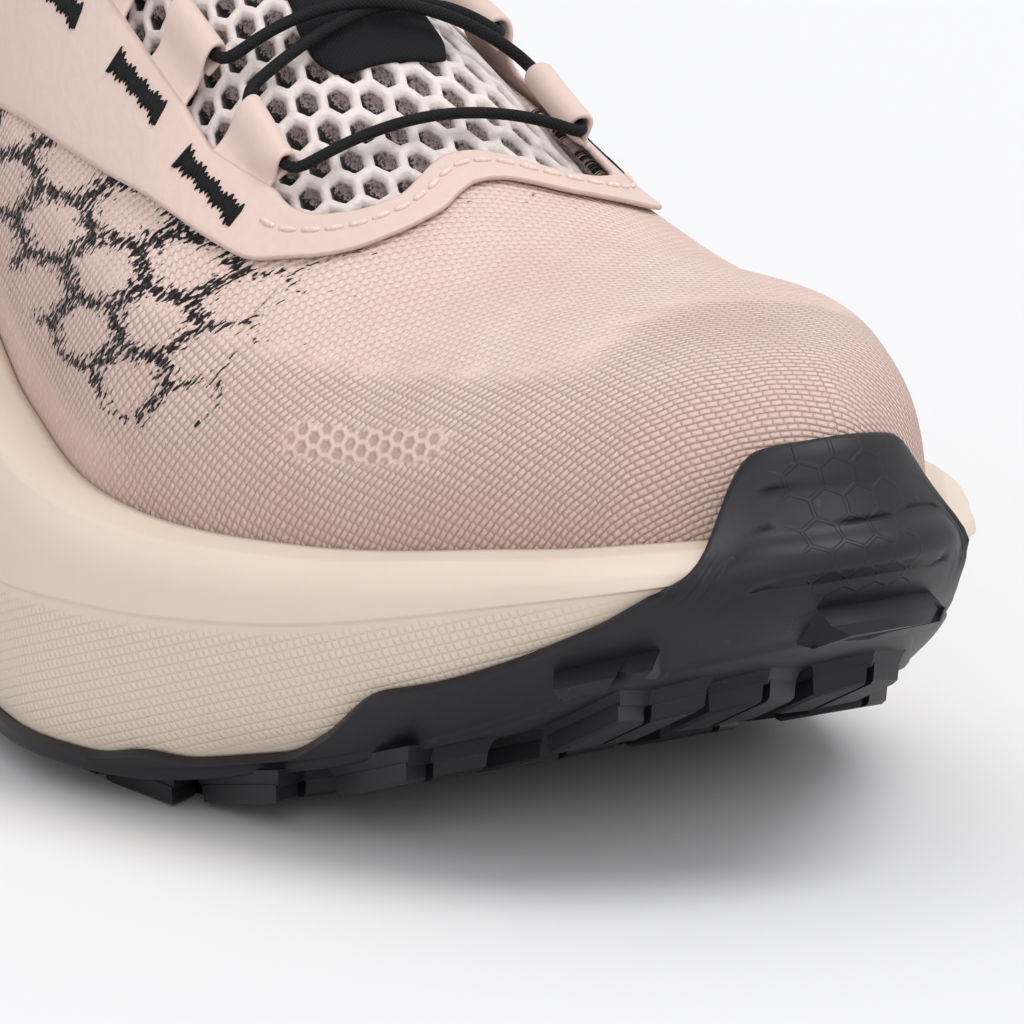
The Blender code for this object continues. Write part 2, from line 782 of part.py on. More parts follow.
def build_edge_lugs():
    """Blocks that stand out from the rubber on the side, in one helper."""
    points, faces = [], []
    for start, end, low, high in EDGE_LUGS:
        rings = []
        for part in np.linspace(0.0, 1.0, LUG_STATIONS):
            pairs = []
            for out, draft in ((WRAP_THICKNESS / 2, 0.0), (WRAP_THICKNESS + EDGE_LUG_REACH, EDGE_LUG_DRAFT)):
                place = start + (end - start) * (draft + part * (1 - 2 * draft))
                side = OUTER if place < 0 else INNER
                trim = (high - low) * draft
                levels = (low + trim, high - trim)
                pairs.append([rubber_point(side, 1 - abs(place), level, GAP + out) for level in levels])
            rings.append([pairs[0][0], pairs[1][0], pairs[1][1], pairs[0][1]])
        first = len(points)
        made, quads = loft(rings)
        points += made
        faces += [tuple(first + i for i in quad) for quad in quads]
        faces.append(tuple(first + i for i in range(len(rings[0]))))
        faces.append(tuple(first + len(made) - 1 - i for i in range(len(rings[0]))))
    return new_object("edge_lug_blocks", points, faces, None, shown=False)


def build_insole(material):
    """Footbed that lies inside the upper, on the midsole."""
    def ring(height, extra):
        def place(side, a):
            plan = inset_point(side, a, ledge_inset(side, a) + UPPER_WALL + GAP + extra)
            return (*plan, rim(a) - RECESS_DEPTH + height)
        return place

    places = [
        ring(GAP, EDGE_ROUND),
        ring(GAP + EDGE_ROUND, 0.0),
        ring(GAP + INSOLE_THICKNESS + EDGE_ROUND, 0.0),
        ring(GAP + INSOLE_THICKNESS, INSOLE_THICKNESS),
    ]
    insole = loft_round("insole", places, columns_round(COLUMNS), material)
    finish_smooth(insole, 50)


def build_upper(material):
    """The hollow upper: the last's skin as a wall, open below, at the throat and at the collar."""
    columns = columns_round(COLUMNS)

    def tucked(side, a):
        foot = feather_point(side, a)
        return (foot[0], foot[1], foot[2] - RECESS_DEPTH + GAP)

    places = [tucked, feather_point]
    places += [lambda side, a, s=share: last_point(side, a, s) for share in SKIN_ROWS]
    rings = [ring_of(place, columns) for place in places]
    rings.append([ridge_point(a) for a in [*columns, *columns[1:-1][::-1]]])
    points, faces = loft(rings)
    upper = new_object("upper", points, faces, material)

    pads = upper.vertex_groups.new(name="collar_padding")
    for vertex in upper.data.vertices:
        along = share_of(vertex.co.x)
        level = float(collar_height(along)[0])
        rise = (vertex.co.z - PAD_FOOT * level) / (PAD_SPAN * level)
        fade = (PAD_FRONT - along) / PAD_FADE
        pads.add([vertex.index], min(max(rise, 0.0), 1.0) * min(max(fade, 0.0), 1.0), "REPLACE")

    wall = upper.modifiers.new("wall", "SOLIDIFY")
    wall.thickness = COLLAR_PADDING
    wall.offset = -1.0
    wall.vertex_group = pads.name
    wall.thickness_vertex_group = UPPER_WALL / COLLAR_PADDING
    bake(upper)

    apply_boolean(upper, collar_cutter(), "DIFFERENCE")
    apply_boolean(upper, throat_cutter(), "DIFFERENCE")
    finish_smooth(upper)


def collar_cutter():
    """Everything above the collar line, seen from the side."""
    places = np.linspace(COLLAR[0][0], COLLAR[-1][0], 26)
    line = [((a - 0.5) * SHOE_LENGTH, float(collar_height(a)[0])) for a in places]
    top = 2 * ANKLE_HEIGHT
    line += [(line[-1][0], top), (line[0][0], top)]
    return prism("collar_cutter", line, -BALL_WIDTH, BALL_WIDTH, upright=False)


def throat_cutter():
    """The throat seen from above, a seam allowance wider than the opening of the eyestay."""
    front = [(a + SEAM_ALLOWANCE / SHOE_LENGTH, w * HOLE_WIDENING) for a, w, _, _ in EYESTAY_FRONT]
    edge = [(THROAT_TOP - TAB_PITCH, NOTCH_REACH + SEAM_ALLOWANCE)]
    edge += [(FIRST_TAB - TAB_LENGTH, NOTCH_REACH + SEAM_ALLOWANCE), *front]
    outer = [skin_point(a, -w) for a, w in edge]
    inner = [skin_point(a, w) for a, w in edge[-2::-1]]
    return prism("throat_cutter", [*outer, *inner], BALL_SIDE_HEIGHT, 2 * ANKLE_HEIGHT)


def eyestay_stations():
    """(inner edge, outer edge) pairs of the eyestay, each (along, across), from its top to its middle."""
    places = [(THROAT_TOP - TAB_LENGTH, NOTCH_REACH)]
    for index in reversed(range(TAB_COUNT)):
        front, back = tab_span(index)
        foot = NOTCH_REACH if index else EYESTAY_FRONT[0][1]
        places += [(back - NOTCH_SLOPE, NOTCH_REACH), (back, TAB_REACH), (front, TAB_REACH)]
        places += [(front + NOTCH_SLOPE, foot)]
    stations = [((a, w), (a, float(eyestay_side(a)[0]))) for a, w in places]
    stations += [((a, w), (b, v)) for a, w, b, v in EYESTAY_FRONT]
    return stations


def strip_solid(name, stations, material, shown=True):
    """A closed solid from stations, each a row of (low point, high point) pairs across it."""
    rings = [[low for low, _ in row] + [high for _, high in row[::-1]] for row in stations]
    points, faces = loft(rings)
    size = len(rings[0])
    for first in (0, (len(rings) - 1) * size):
        for i in range(size // 2 - 1):
            faces.append(tuple(first + c for c in (i, i + 1, size - i - 2, size - i - 1)))
    return new_object(name, points, faces, material, shown)


def build_eyestay(material):
    """Band round the throat, with a rolled tunnel for the lace along the end of each tab."""
    half = eyestay_stations()
    path = [(OUTER, inner, outer) for inner, outer in half]
    path += [(INNER, inner, outer) for inner, outer in half[-2::-1]]
    stations = []
    for side, inner, outer in path:
        row = []
        for share in np.linspace(0.0, 1.0, EYESTAY_ROWS):
            a = inner[0] + (outer[0] - inner[0]) * share
            w = side * (inner[1] + (outer[1] - inner[1]) * share)
            row.append((skin(a, w, EYESTAY_LIFT), skin(a, w, EYESTAY_LIFT + EYESTAY_THICKNESS)))
        stations.append(row)
    eyestay = strip_solid("eyestay", stations, material)
    rolls = (("UNION", TUNNEL_RADIUS, 0.0), ("DIFFERENCE", TUNNEL_BORE, TUNNEL_OVERRUN))
    for operation, radius, over in rolls:
        for side in (OUTER, INNER):
            for index in range(TAB_COUNT):
                front, back = tab_span(index)
                places = np.linspace(back - over, front + over, TUNNEL_STATIONS)
                path = [skin(a, side * TAB_REACH, TUNNEL_LIFT) for a in places]
                roll = tube("roll", [path], radius, TUNNEL_SIDES, None, shown=False)
                apply_boolean(eyestay, roll, operation)
    finish_smooth(eyestay, 40)


def tube(name, paths, radius, sides, material, shown=True):
    """Round closed tubes along paths, in one object."""
    points, faces = [], []
    for path in paths:
        path = [np.array(p) for p in path]
        rings = []
        side_way = None
        for k, centre in enumerate(path):
            ahead = path[min(k + 1, len(path) - 1)] - path[max(k - 1, 0)]
            ahead = ahead / np.linalg.norm(ahead)
            if side_way is None:
                side_way = np.cross(ahead, (0.0, 0.0, 1.0))
            side_way = side_way - ahead * (side_way @ ahead)
            side_way = side_way / np.linalg.norm(side_way)
            up = np.cross(side_way, ahead)
            turns = [2 * math.pi * (i + 0.5) / sides for i in range(sides)]
            rings.append([centre + radius * (math.cos(t) * side_way + math.sin(t) * up) for t in turns])
        made, quads = loft(rings)
        first = len(points)
        points += made
        faces += [tuple(first + i for i in quad) for quad in quads]
        faces.append(tuple(first + i for i in range(sides)))
        faces.append(tuple(first + len(made) - 1 - i for i in range(sides)))
    return new_object(name, points, faces, material, shown)


def build_tongue(material, strip_material):
    """Padded tongue under the throat, and the plain strip down its middle."""
    stations = []
    for a in np.linspace(TONGUE[0][0], TONGUE[-1][0], TONGUE_STATIONS):
        half_width, padding, dip = tongue_form(a)
        row = []
        for share in np.linspace(-1.0, 1.0, TONGUE_ROWS):
            top = tongue_lift(share) - dip * TONGUE_DIP
            under = top - TONGUE_THICKNESS * padding * (1 - abs(share) ** TONGUE_TAPER * 0.5)
            across = share * half_width * TONGUE_HALF_WIDTH
            row.append((skin(a, across, under), skin(a, across, top)))
        stations.append(row)
    tongue = strip_solid("tongue", stations, material)
    finish_smooth(tongue, 50)

    strip = []
    for a, half_width in STRIP:
        row = []
        for share in np.linspace(-1.0, 1.0, STRIP_ROWS):
            across = share * half_width
            low = tongue_lift(across / TONGUE_HALF_WIDTH) + GAP
            row.append((skin(a, across, low), skin(a, across, low + STRIP_THICKNESS)))
        strip.append(row)
    finish_smooth(strip_solid("tongue_strip", strip, strip_material))


def tongue_lift(share):
    """Height of the tongue's top over the last's skin: it bulges up in the throat."""
    crown = math.cos(min(abs(share), 1.0) * math.pi / 2) ** 2
    return TONGUE_CROWN * crown - UPPER_WALL - TONGUE_CLEARANCE


def lace_run(start, end, dip):
    """Path of a lace over the skin from one (along, across) to another, dipping in its middle."""
    path = []
    for share in np.linspace(0.0, 1.0, LACE_STATIONS):
        ease = share * share * (3 - 2 * share)
        way = LACE_EASE * ease + (1 - LACE_EASE) * share
        a = start[0] + (end[0] - start[0]) * way
        w = start[1] + (end[1] - start[1]) * share
        lift = TUNNEL_LIFT - dip * math.sin(math.pi * share)
        path.append(skin(a, w, lift))
    return path


def build_laces(material):
    """The bar at the front, and a cross between each two pairs of tabs."""
    mouth = LACE_LEAD / SHOE_LENGTH
    front = tab_span(0)[0] + mouth
    bar = lace_run((front, -TAB_REACH), (front, TAB_REACH), LACE_DIP)
    finish_smooth(tube("lace_bar", [bar], LACE_RADIUS, LACE_SIDES, material))
    for index in range(TAB_COUNT - 1):
        low, high = tab_span(index)[1] - mouth, tab_span(index + 1)[0] + mouth
        under = lace_run((low, -TAB_REACH), (high, TAB_REACH), LACE_DIP)
        over_dip = LACE_DIP - (2 - LACE_OVERLAP) * LACE_RADIUS
        over = lace_run((high, -TAB_REACH), (low, TAB_REACH), over_dip)
        cross = tube(f"lace_cross_{index + 1}", [under], LACE_RADIUS, LACE_SIDES, material)
        upper_run = tube("upper_run", [over], LACE_RADIUS, LACE_SIDES, None, shown=False)
        apply_boolean(cross, upper_run, "UNION")
        finish_smooth(cross)


def clear_scene():
    for obj in list(bpy.data.objects):
        bpy.data.objects.remove(obj)


def stand_on_origin():
    """Moves every piece so that the origin is under the middle of the whole shoe."""
    spots = np.array([vertex.co for obj in shoe.objects for vertex in obj.data.vertices])
    low, high = spots.min(axis=0), spots.max(axis=0)
    move = Matrix.Translation((-(low[0] + high[0]) / 2, -(low[1] + high[1]) / 2, -low[2]))
    for obj in shoe.objects:
        obj.data.transform(move)


clear_scene()
shoe = bpy.data.collections.new("trail_running_shoe")
cutters = bpy.data.collections.new("cutters")
bpy.context.scene.collection.children.link(shoe)
bpy.context.scene.collection.children.link(cutters)

rubber = make_material("black_rubber", (0.020, 0.020, 0.022), 0.62)
foam = make_material("beige_foam", (0.68, 0.58, 0.48), 0.70)
knit = make_material("pink_knit", (0.60, 0.42, 0.37), 0.85)
band = make_material("pink_band", (0.62, 0.44, 0.39), 0.55)
mesh_cloth = make_material("tongue_mesh", (0.58, 0.48, 0.46), 0.90)
strip_cloth = make_material("black_strip", (0.015, 0.015, 0.017), 0.85)
cord = make_material("black_cord", (0.012, 0.012, 0.014), 0.80)
liner = make_material("insole_cloth", (0.42, 0.33, 0.30), 0.90)

build_outsole(rubber)
build_midsole(foam)
build_insole(liner)
build_upper(knit)
build_tongue(mesh_cloth, strip_cloth)
build_eyestay(band)
build_laces(cord)
stand_on_origin()
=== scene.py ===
import math

import bmesh
import bpy
import numpy as np
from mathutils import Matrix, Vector


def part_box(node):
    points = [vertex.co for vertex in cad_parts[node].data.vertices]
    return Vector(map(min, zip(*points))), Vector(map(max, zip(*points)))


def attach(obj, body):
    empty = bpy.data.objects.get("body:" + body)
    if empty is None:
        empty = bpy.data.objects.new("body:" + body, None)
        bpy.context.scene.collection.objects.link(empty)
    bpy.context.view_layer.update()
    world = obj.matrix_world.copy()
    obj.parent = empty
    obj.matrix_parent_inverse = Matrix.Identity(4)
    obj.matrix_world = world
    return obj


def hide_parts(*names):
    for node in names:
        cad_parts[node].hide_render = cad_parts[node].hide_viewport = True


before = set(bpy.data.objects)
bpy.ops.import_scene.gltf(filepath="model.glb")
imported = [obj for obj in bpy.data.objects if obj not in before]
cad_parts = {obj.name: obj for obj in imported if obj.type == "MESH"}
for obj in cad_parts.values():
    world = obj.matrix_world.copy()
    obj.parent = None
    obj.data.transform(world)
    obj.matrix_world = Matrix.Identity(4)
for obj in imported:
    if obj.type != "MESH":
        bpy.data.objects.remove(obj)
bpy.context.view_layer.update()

cameraView = {
    "azimuth": 56.9,
    "elevation": 14.3,
    "distance": 1.396,
    "target": (0.0900, 0.00245, 0.0300),
    "lens": 405.4,
    "sensor": 36.0,
    "shift": (-0.1152, 0.0586),
}


def addObject(name, data):
    thing = bpy.data.objects.new(name, data)
    bpy.context.scene.collection.objects.link(thing)
    return thing


def placeCamera(view):
    turn, tip = math.radians(view["azimuth"]), math.radians(view["elevation"])
    back = Vector((math.sin(turn) * math.cos(tip), -math.cos(turn) * math.cos(tip), math.sin(tip)))
    lens = bpy.data.cameras.new("shoeCamera")
    lens.lens, lens.sensor_width = view["lens"], view["sensor"]
    lens.shift_x, lens.shift_y = view["shift"]
    lens.clip_end = 20.0
    camera = addObject("shoeCamera", lens)
    camera.location = Vector(view["target"]) + back * view["distance"]
    camera.rotation_euler = back.to_track_quat("Z", "Y").to_euler()
    bpy.context.scene.camera = camera


placeCamera(cameraView)
print("camera placed")

# The shoe's form, the same as its solids: metres, toe at +X, inner side of the foot at +Y
form = {
    "length": 0.280,
    "ballWidth": 0.106,
    "heelWidth": 0.084,
    "heelSide": 0.052,
    "ballSide": 0.037,
    "lugHeight": 0.0038,
    "toeSpring": 0.030,
    "heelBevel": 0.011,
    "archRise": 0.003,
    "sideFlare": 0.008,
    "rimRoll": 0.0034,
    "rimWidth": 0.0075,
    "stepOverhang": 0.0008,
    "sheetThickness": 0.0020,
    "wrapThickness": 0.0014,
    "wrapEase": 0.0005,
    "bumperRise": 0.0105,
    "landing": 2.45,
    "toeTip": 0.030,
    "tipBlend": 0.90,
    "gap": 0.0003,
    "toeBox": 0.064,
    "ball": 0.074,
    "instep": 0.114,
    "ankle": 0.150,
    "heelCollar": 0.102,
    "ankleCollar": 0.089,
    "recess": 0.0065,
    "spanSamples": 60,
    "sectionSamples": 96,
    "batch": 20000,
}
shoeLength = form["length"]


def scaled(size, rows):
    return [(row[0], size * row[1], *row[2:]) for row in rows]


outlineRows = [(a, form["heelWidth"] * out, form["heelWidth"] * inn) for a, out, inn in (
    (0.030, 0.270, 0.270), (0.100, 0.445, 0.440), (0.200, 0.510, 0.490), (0.320, 0.500, 0.445))]
outlineRows += [(a, form["ballWidth"] * out, form["ballWidth"] * inn) for a, out, inn in (
    (0.440, 0.410, 0.325), (0.550, 0.480, 0.365), (0.650, 0.535, 0.445), (0.730, 0.520, 0.490),
    (0.820, 0.450, 0.460), (0.900, 0.355, 0.335), (0.960, 0.235, 0.220))]
undersideRows = scaled(form["heelBevel"], [(0.00, 1.00), (0.05, 0.42), (0.12, 0.04), (0.18, 0.00)])
undersideRows += scaled(form["archRise"], [(0.30, 0.00), (0.40, 1.00), (0.48, 1.00), (0.57, 0.00)])
undersideRows += scaled(form["toeSpring"], [
    (0.69, 0.00), (0.78, 0.15), (0.86, 0.39), (0.93, 0.70), (1.00, 1.00)])
rimRows = scaled(form["heelSide"], [(0.00, 1.08), (0.10, 1.03), (0.25, 1.00), (0.40, 1.01), (0.47, 0.96)])
rimRows += scaled(form["ballSide"], [
    (0.54, 1.14), (0.62, 1.01), (0.72, 0.965), (0.80, 0.99), (0.90, 1.09), (1.00, 1.20)])
sideRows = [
    (0.00, 1.00, 1.0, 0.00), (0.18, 0.60, 1.0, 0.00), (0.45, 0.26, 1.0, 0.00), (0.75, 0.06, 1.0, 0.00),
    (0.95, 0.00, 1.0, 0.00), (1.00, 0.00, 0.0, 0.00), (1.40, 0.00, 0.0, 0.08), (1.75, 0.00, 0.0, 0.42),
    (2.00, 0.00, 0.0, 1.00)]
flareRows = [
    (0.00, 1.00, 1.00), (0.15, 0.75, 0.75), (0.30, 0.45, 0.55), (0.45, 0.20, 0.45), (0.62, 0.20, 0.45),
    (0.72, 0.70, 0.70), (0.80, 1.00, 1.00), (1.00, 1.00, 1.00)]
ledgeRows = [
    (0.00, 1.00, 1.00), (0.80, 1.00, 1.00), (0.90, 0.92, 0.48), (0.96, 0.75, 0.33), (1.00, 0.40, 0.38)]
stepRows = [(0.00, 0.52), (0.30, 0.44), (0.50, 0.46), (0.62, 0.60), (0.72, 0.70), (1.00, 0.71)]
rubberRows = [
    (0.000, 0.45, 0.45), (0.160, 0.35, 0.35), (0.250, 0.12, 0.12), (0.470, 0.04, 0.04),
    (0.618, 0.03, 0.04), (0.645, 0.10, 0.10), (0.666, 0.04, 0.04), (0.700, 0.03, 0.04),
    (0.723, 0.14, 0.05), (0.756, 0.40, 0.14), (0.783, 0.38, 0.30), (0.810, 0.41, 0.27),
    (0.856, 0.61, 0.36), (0.878, 0.88, 0.60), (0.891, 1.12, 1.10), (0.907, 1.90, 2.60),
    (0.915, 2.70, 2.88), (0.922, 2.90, 2.92), (0.935, 2.95, 2.95), (0.960, 2.98, 2.98),
    (1.000, 3.00, 3.00)]
ridgeAlongRows = [
    (0.00, 0.200), (0.10, 0.210), (0.20, 0.245), (0.30, 0.315), (0.40, 0.402), (0.60, 0.600),
    (0.75, 0.748), (0.85, 0.825), (0.93, 0.873), (1.00, 0.890)]
ridgeRows = scaled(form["ankle"], [(0.20, 1.00, 0.00), (0.26, 0.99, 0.00), (0.32, 0.93, 0.00)])
ridgeRows += scaled(form["instep"], [(0.40, 1.05, 0.00), (0.50, 0.95, -0.01)])
ridgeRows += scaled(form["ball"], [(0.60, 1.25, -0.015), (0.70, 1.00, -0.01)])
ridgeRows += scaled(form["toeBox"], [(0.80, 1.025, 0.04), (0.86, 1.01, 0.055), (0.89, 1.000, 0.062)])
fullnessRows = [
    (0.00, 0.60, 1.00, 0.60, 1.00), (0.20, 0.60, 1.00, 0.60, 1.00), (0.40, 0.95, 1.10, 0.95, 1.10),
    (0.60, 1.08, 1.14, 1.00, 1.05), (0.75, 1.03, 1.07, 0.95, 0.95), (0.88, 0.86, 0.92, 0.57, 0.83),
    (1.00, 0.74, 0.88, 0.54, 0.84)]
collarRows = scaled(form["heelCollar"], [(-0.05, 1.02), (0.03, 1.00), (0.09, 0.95)])
collarRows += scaled(form["ankleCollar"], [(0.17, 1.00), (0.25, 1.02), (0.32, 1.15)])
collarRows += scaled(form["instep"], [(0.38, 0.99), (0.44, 1.17)])


def fade(value, low, high):
    t = np.clip((value - low) / (high - low), 0.0, 1.0)
    return t * t * (3 - 2 * t)


def unit(vectors):
    return vectors / np.maximum(np.linalg.norm(vectors, axis=-1, keepdims=True), 1e-12)


def runAlong(path):  # distance of each point from the path's start
    return np.concatenate([[0.0], np.cumsum(np.linalg.norm(np.diff(path, axis=0), axis=1))])


def hermite(t, start, leave, end, arrive):
    rise = fade(t, 0.0, 1.0)
    return (1 - rise) * start + t * (1 - t) ** 2 * leave + rise * end - t * t * (1 - t) * arrive


def smoothCurve(rows):  # a smooth function through the rows, which never overshoots them
    table = np.array(rows, float)
    places, values = table[:, 0], table[:, 1:]
    steps = np.diff(places)
    slopes = np.diff(values, axis=0) / steps[:, None]
    tangents = np.zeros_like(values)
    tangents[0], tangents[-1] = slopes[0], slopes[-1]
    before, after = slopes[:-1], slopes[1:]
    level = before * after <= 0
    first = (2 * steps[1:] + steps[:-1])[:, None]
    second = (steps[1:] + 2 * steps[:-1])[:, None]
    mean = (first + second) / (first / np.where(level, 1.0, before) + second / np.where(level, 1.0, after))
    tangents[1:-1] = np.where(level, 0.0, mean)

    def at(place):
        place = np.clip(np.asarray(place, float), places[0], places[-1])
        k = np.clip(np.searchsorted(places, place, side="right") - 1, 0, len(steps) - 1)
        t = ((place - places[k]) / steps[k])[..., None]
        span = steps[k][..., None]
        found = hermite(t, values[k], span * tangents[k], values[k + 1], span * tangents[k + 1])
        return found[..., 0] if values.shape[1] == 1 else found

    return at


def outlineSides():  # plan of the sole, heel to toe: x, y and the outward normal, outer side then inner
    ring = [(0.0, 0.0)] + [(a * shoeLength, -out) for a, out, _ in outlineRows]
    ring += [(shoeLength, form["toeTip"] * form["ballWidth"])]
    ring += [(a * shoeLength, inn) for a, _, inn in reversed(outlineRows)]
    points = np.array(ring)
    ends = np.roll(points, -1, axis=0)
    spans = np.sqrt(np.linalg.norm(ends - points, axis=1))[:, None]
    slopes = (ends - points) / spans
    spansBefore, slopesBefore = np.roll(spans, 1, axis=0), np.roll(slopes, 1, axis=0)
    tangents = (slopesBefore * spans + slopes * spansBefore) / (spans + spansBefore)
    leave, arrive = tangents * spans, np.roll(tangents, -1, axis=0) * spans
    count = form["spanSamples"]
    t = (np.arange(count) / count)[None, :, None]
    path = hermite(t, points[:, None], leave[:, None], ends[:, None], arrive[:, None]).reshape(-1, 2)
    path[:, 0] -= shoeLength / 2
    ahead = np.roll(path, -1, axis=0) - np.roll(path, 1, axis=0)
    whole = np.column_stack([path, unit(np.column_stack([ahead[:, 1], -ahead[:, 0]]))])
    turn = (len(outlineRows) + 1) * count
    return whole[: turn + 1], np.vstack([whole[turn:], whole[:1]])[::-1]


sides = outlineSides()
undersideRise = smoothCurve(undersideRows)
rimHeight = smoothCurve(rimRows)
sideForm = smoothCurve(sideRows)
flareForm = smoothCurve(flareRows)
ledgeForm = smoothCurve(ledgeRows)
stepShare = smoothCurve(stepRows)
rubberEdge = smoothCurve(rubberRows)
ridgeAlong = smoothCurve(ridgeAlongRows)
ridgeForm = smoothCurve(ridgeRows)
fullnessForm = smoothCurve(fullnessRows)
collarHeight = smoothCurve(collarRows)


def bySide(inner, table):  # the outer or the inner one of two columns
    return np.where(inner, table[..., 1], table[..., 0])


def planOf(inner, along):
    inner, along = np.broadcast_arrays(inner, along)
    x = (along - 0.5) * shoeLength
    across, normalX, normalY = (np.where(inner, *[np.interp(x, rows[:, 0], rows[:, k]) for rows in sides[::-1]])
                                for k in (1, 2, 3))
    return np.stack([x, across], -1), unit(np.stack([normalX, normalY], -1))


def shareOf(x):
    return x / shoeLength + 0.5


def underside(along):
    return form["lugHeight"] + undersideRise(along)


def midsoleBottom(along):
    return underside(along) + form["sheetThickness"] + form["gap"]


def insetPlan(inner, along, inset):
    point, normal = planOf(inner, along)
    return point - normal * np.asarray(inset)[..., None]


def sideInset(inner, along, level):
    profile = sideForm(level)
    spread = form["sideFlare"] * bySide(inner, flareForm(along))
    inset = profile[..., 0] * spread + profile[..., 1] * form["stepOverhang"]
    return inset + profile[..., 2] * form["rimRoll"]


def sidePoint(inner, along, level):
    inner, along, level = np.broadcast_arrays(inner, along, level)
    spot = insetPlan(inner, along, sideInset(inner, along, level))
    low, high, step = midsoleBottom(shareOf(spot[..., 0])), rimHeight(along), stepShare(along)
    share = np.where(level <= 1, level * step, step + (level - 1) * (1 - step))
    return np.concatenate([spot, (low + share * (high - low))[..., None]], -1)


def ridgePoint(along):
    ridge = ridgeAlong(along)
    found = ridgeForm(ridge)
    return np.stack([(ridge - 0.5) * shoeLength, found[..., 1] * form["ballWidth"], found[..., 0]], -1)


def ledgeInset(inner, along):
    return form["rimRoll"] + form["rimWidth"] * bySide(inner, ledgeForm(along))


def featherPoint(inner, along):
    spot = insetPlan(inner, along, ledgeInset(inner, along))
    return np.concatenate([spot, rimHeight(along)[..., None]], -1)


def fullness(inner, along):  # powers of the plan and the height, which both sides share at the toe's tip
    full = fullnessForm(along)
    share = np.abs(np.where(inner, 1.0, 0.0) - 0.5 * fade(along, form["tipBlend"], 1.0))
    return [full[..., k] + (full[..., k + 2] - full[..., k]) * share for k in (0, 1)]


def lastPoint(inner, along, share):  # share 0 at the feather line, 1 at the ridge
    inner, along, share = np.broadcast_arrays(inner, along, share)
    foot, top = featherPoint(inner, along), ridgePoint(along)
    planPower, climbPower = fullness(inner, along)
    turn = share * math.pi / 2
    inward = 1 - np.maximum(np.cos(turn), 0.0) ** planPower
    climb = np.maximum(np.sin(turn), 0.0) ** climbPower
    return foot + (top - foot) * np.stack([inward, inward, climb], -1)


def skinPoint(along, across):  # a point of the last, at a distance from its ridge over the skin
    along, across = np.broadcast_arrays(np.asarray(along, float), np.asarray(across, float))
    shape, along, across = along.shape, np.round(along.ravel(), 5), across.ravel()
    shares = np.linspace(1.0, 0.0, form["sectionSamples"] + 1)
    keys, index = np.unique(along + 10.0 * (across > 0), return_inverse=True)
    inner = keys > 5.0
    lines = lastPoint(inner[:, None], (keys - 10.0 * inner)[:, None], shares[None])
    reach = np.cumsum(np.linalg.norm(np.diff(lines, axis=1), axis=2), axis=1)
    reach = np.concatenate([np.zeros((len(keys), 1)), reach], axis=1)
    found = np.empty((len(along), 3))
    for start in range(0, len(along), form["batch"]):
        here = slice(start, start + form["batch"])
        rows, far = index[here], np.abs(across[here])
        near = reach[rows]
        k = np.clip((near <= far[:, None]).sum(1) - 1, 0, len(shares) - 2)
        one = np.arange(len(rows))
        part = np.clip((far - near[one, k]) / (near[one, k + 1] - near[one, k]), 0.0, 1.0)[:, None]
        found[here] = lines[rows, k] * (1 - part) + lines[rows, k + 1] * part
    return found.reshape(*shape, 3)


def skin(along, across, lift):  # a point at a height above the last's skin
    ahead = skinPoint(along + 0.004, across) - skinPoint(along - 0.004, across)
    over = skinPoint(along, across + 0.0012) - skinPoint(along, across - 0.0012)
    return skinPoint(along, across) + np.asarray(lift)[..., None] * unit(np.cross(ahead, over))


def columnsRound(count):  # (is it the inner side, share of the length) of each column round the shoe
    along = (1 - np.cos(np.pi * np.linspace(0.0, 1.0, count + 1))) / 2
    return ringFrom(along)


def ringFrom(along):
    inner = np.concatenate([np.zeros(len(along), bool), np.ones(len(along) - 2, bool)])
    return inner, np.concatenate([along, along[1:-1][::-1]])


def frameShift():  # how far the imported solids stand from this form's own origin
    inner, along = columnsRound(400)
    points = sidePoint(inner[None], along[None], np.linspace(0.0, 2.0, 41)[:, None]).reshape(-1, 3)
    low, high = (np.array(corner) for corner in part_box("midsole"))
    centre = (low + high) / 2 - (points.min(0) + points.max(0)) / 2
    return np.array([centre[0], centre[1], low[2] - points[:, 2].min()])


shift = frameShift()
print("form ready, shift", shift.round(5))


def newMesh(name, points, faces, material, body="root", attributes=(), weld=1e-6, parts=None):
    mesh = bpy.data.meshes.new(name)
    mesh.from_pydata((np.asarray(points) + shift).tolist(), [], faces)
    for label, values in dict(attributes).items():
        values = np.asarray(values, float)
        flat = values.ndim == 1
        layer = mesh.attributes.new(label, "FLOAT" if flat else "FLOAT_VECTOR", "POINT")
        layer.data.foreach_set("value" if flat else "vector", values.ravel())
    if parts is not None:
        mesh.polygons.foreach_set("material_index", parts)
    work = bmesh.new()
    work.from_mesh(mesh)
    if weld:
        bmesh.ops.remove_doubles(work, verts=work.verts, dist=weld)
        bmesh.ops.dissolve_degenerate(work, dist=1e-7, edges=work.edges)
    bmesh.ops.recalc_face_normals(work, faces=work.faces)
    work.to_mesh(mesh)
    work.free()
    mesh.shade_smooth()
    mesh.materials.append(material)
    piece = addObject(name, mesh)
    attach(piece, body)
    return piece


def gridFaces(rows, columns, first=0, closed=True):
    r, c = np.meshgrid(np.arange(rows - 1), np.arange(columns if closed else columns - 1), indexing="ij")
    a, b = first + r * columns + c, first + r * columns + (c + 1) % columns
    return np.stack([a, b, b + columns, a + columns], -1).reshape(-1, 4).tolist()


def rungFaces(first, size):  # closes a ring by rungs from its outer to its inner side
    faces = []
    for i in range(size // 2):
        corners = [first + corner % size for corner in (i, i + 1, size - i - 1, size - i)]
        faces.append(tuple(dict.fromkeys(corners)))
    return faces


def shellFaces(rows, size):  # a ring of columns, closed at its first and its last row
    return gridFaces(rows, size) + rungFaces(0, size) + rungFaces((rows - 1) * size, size)


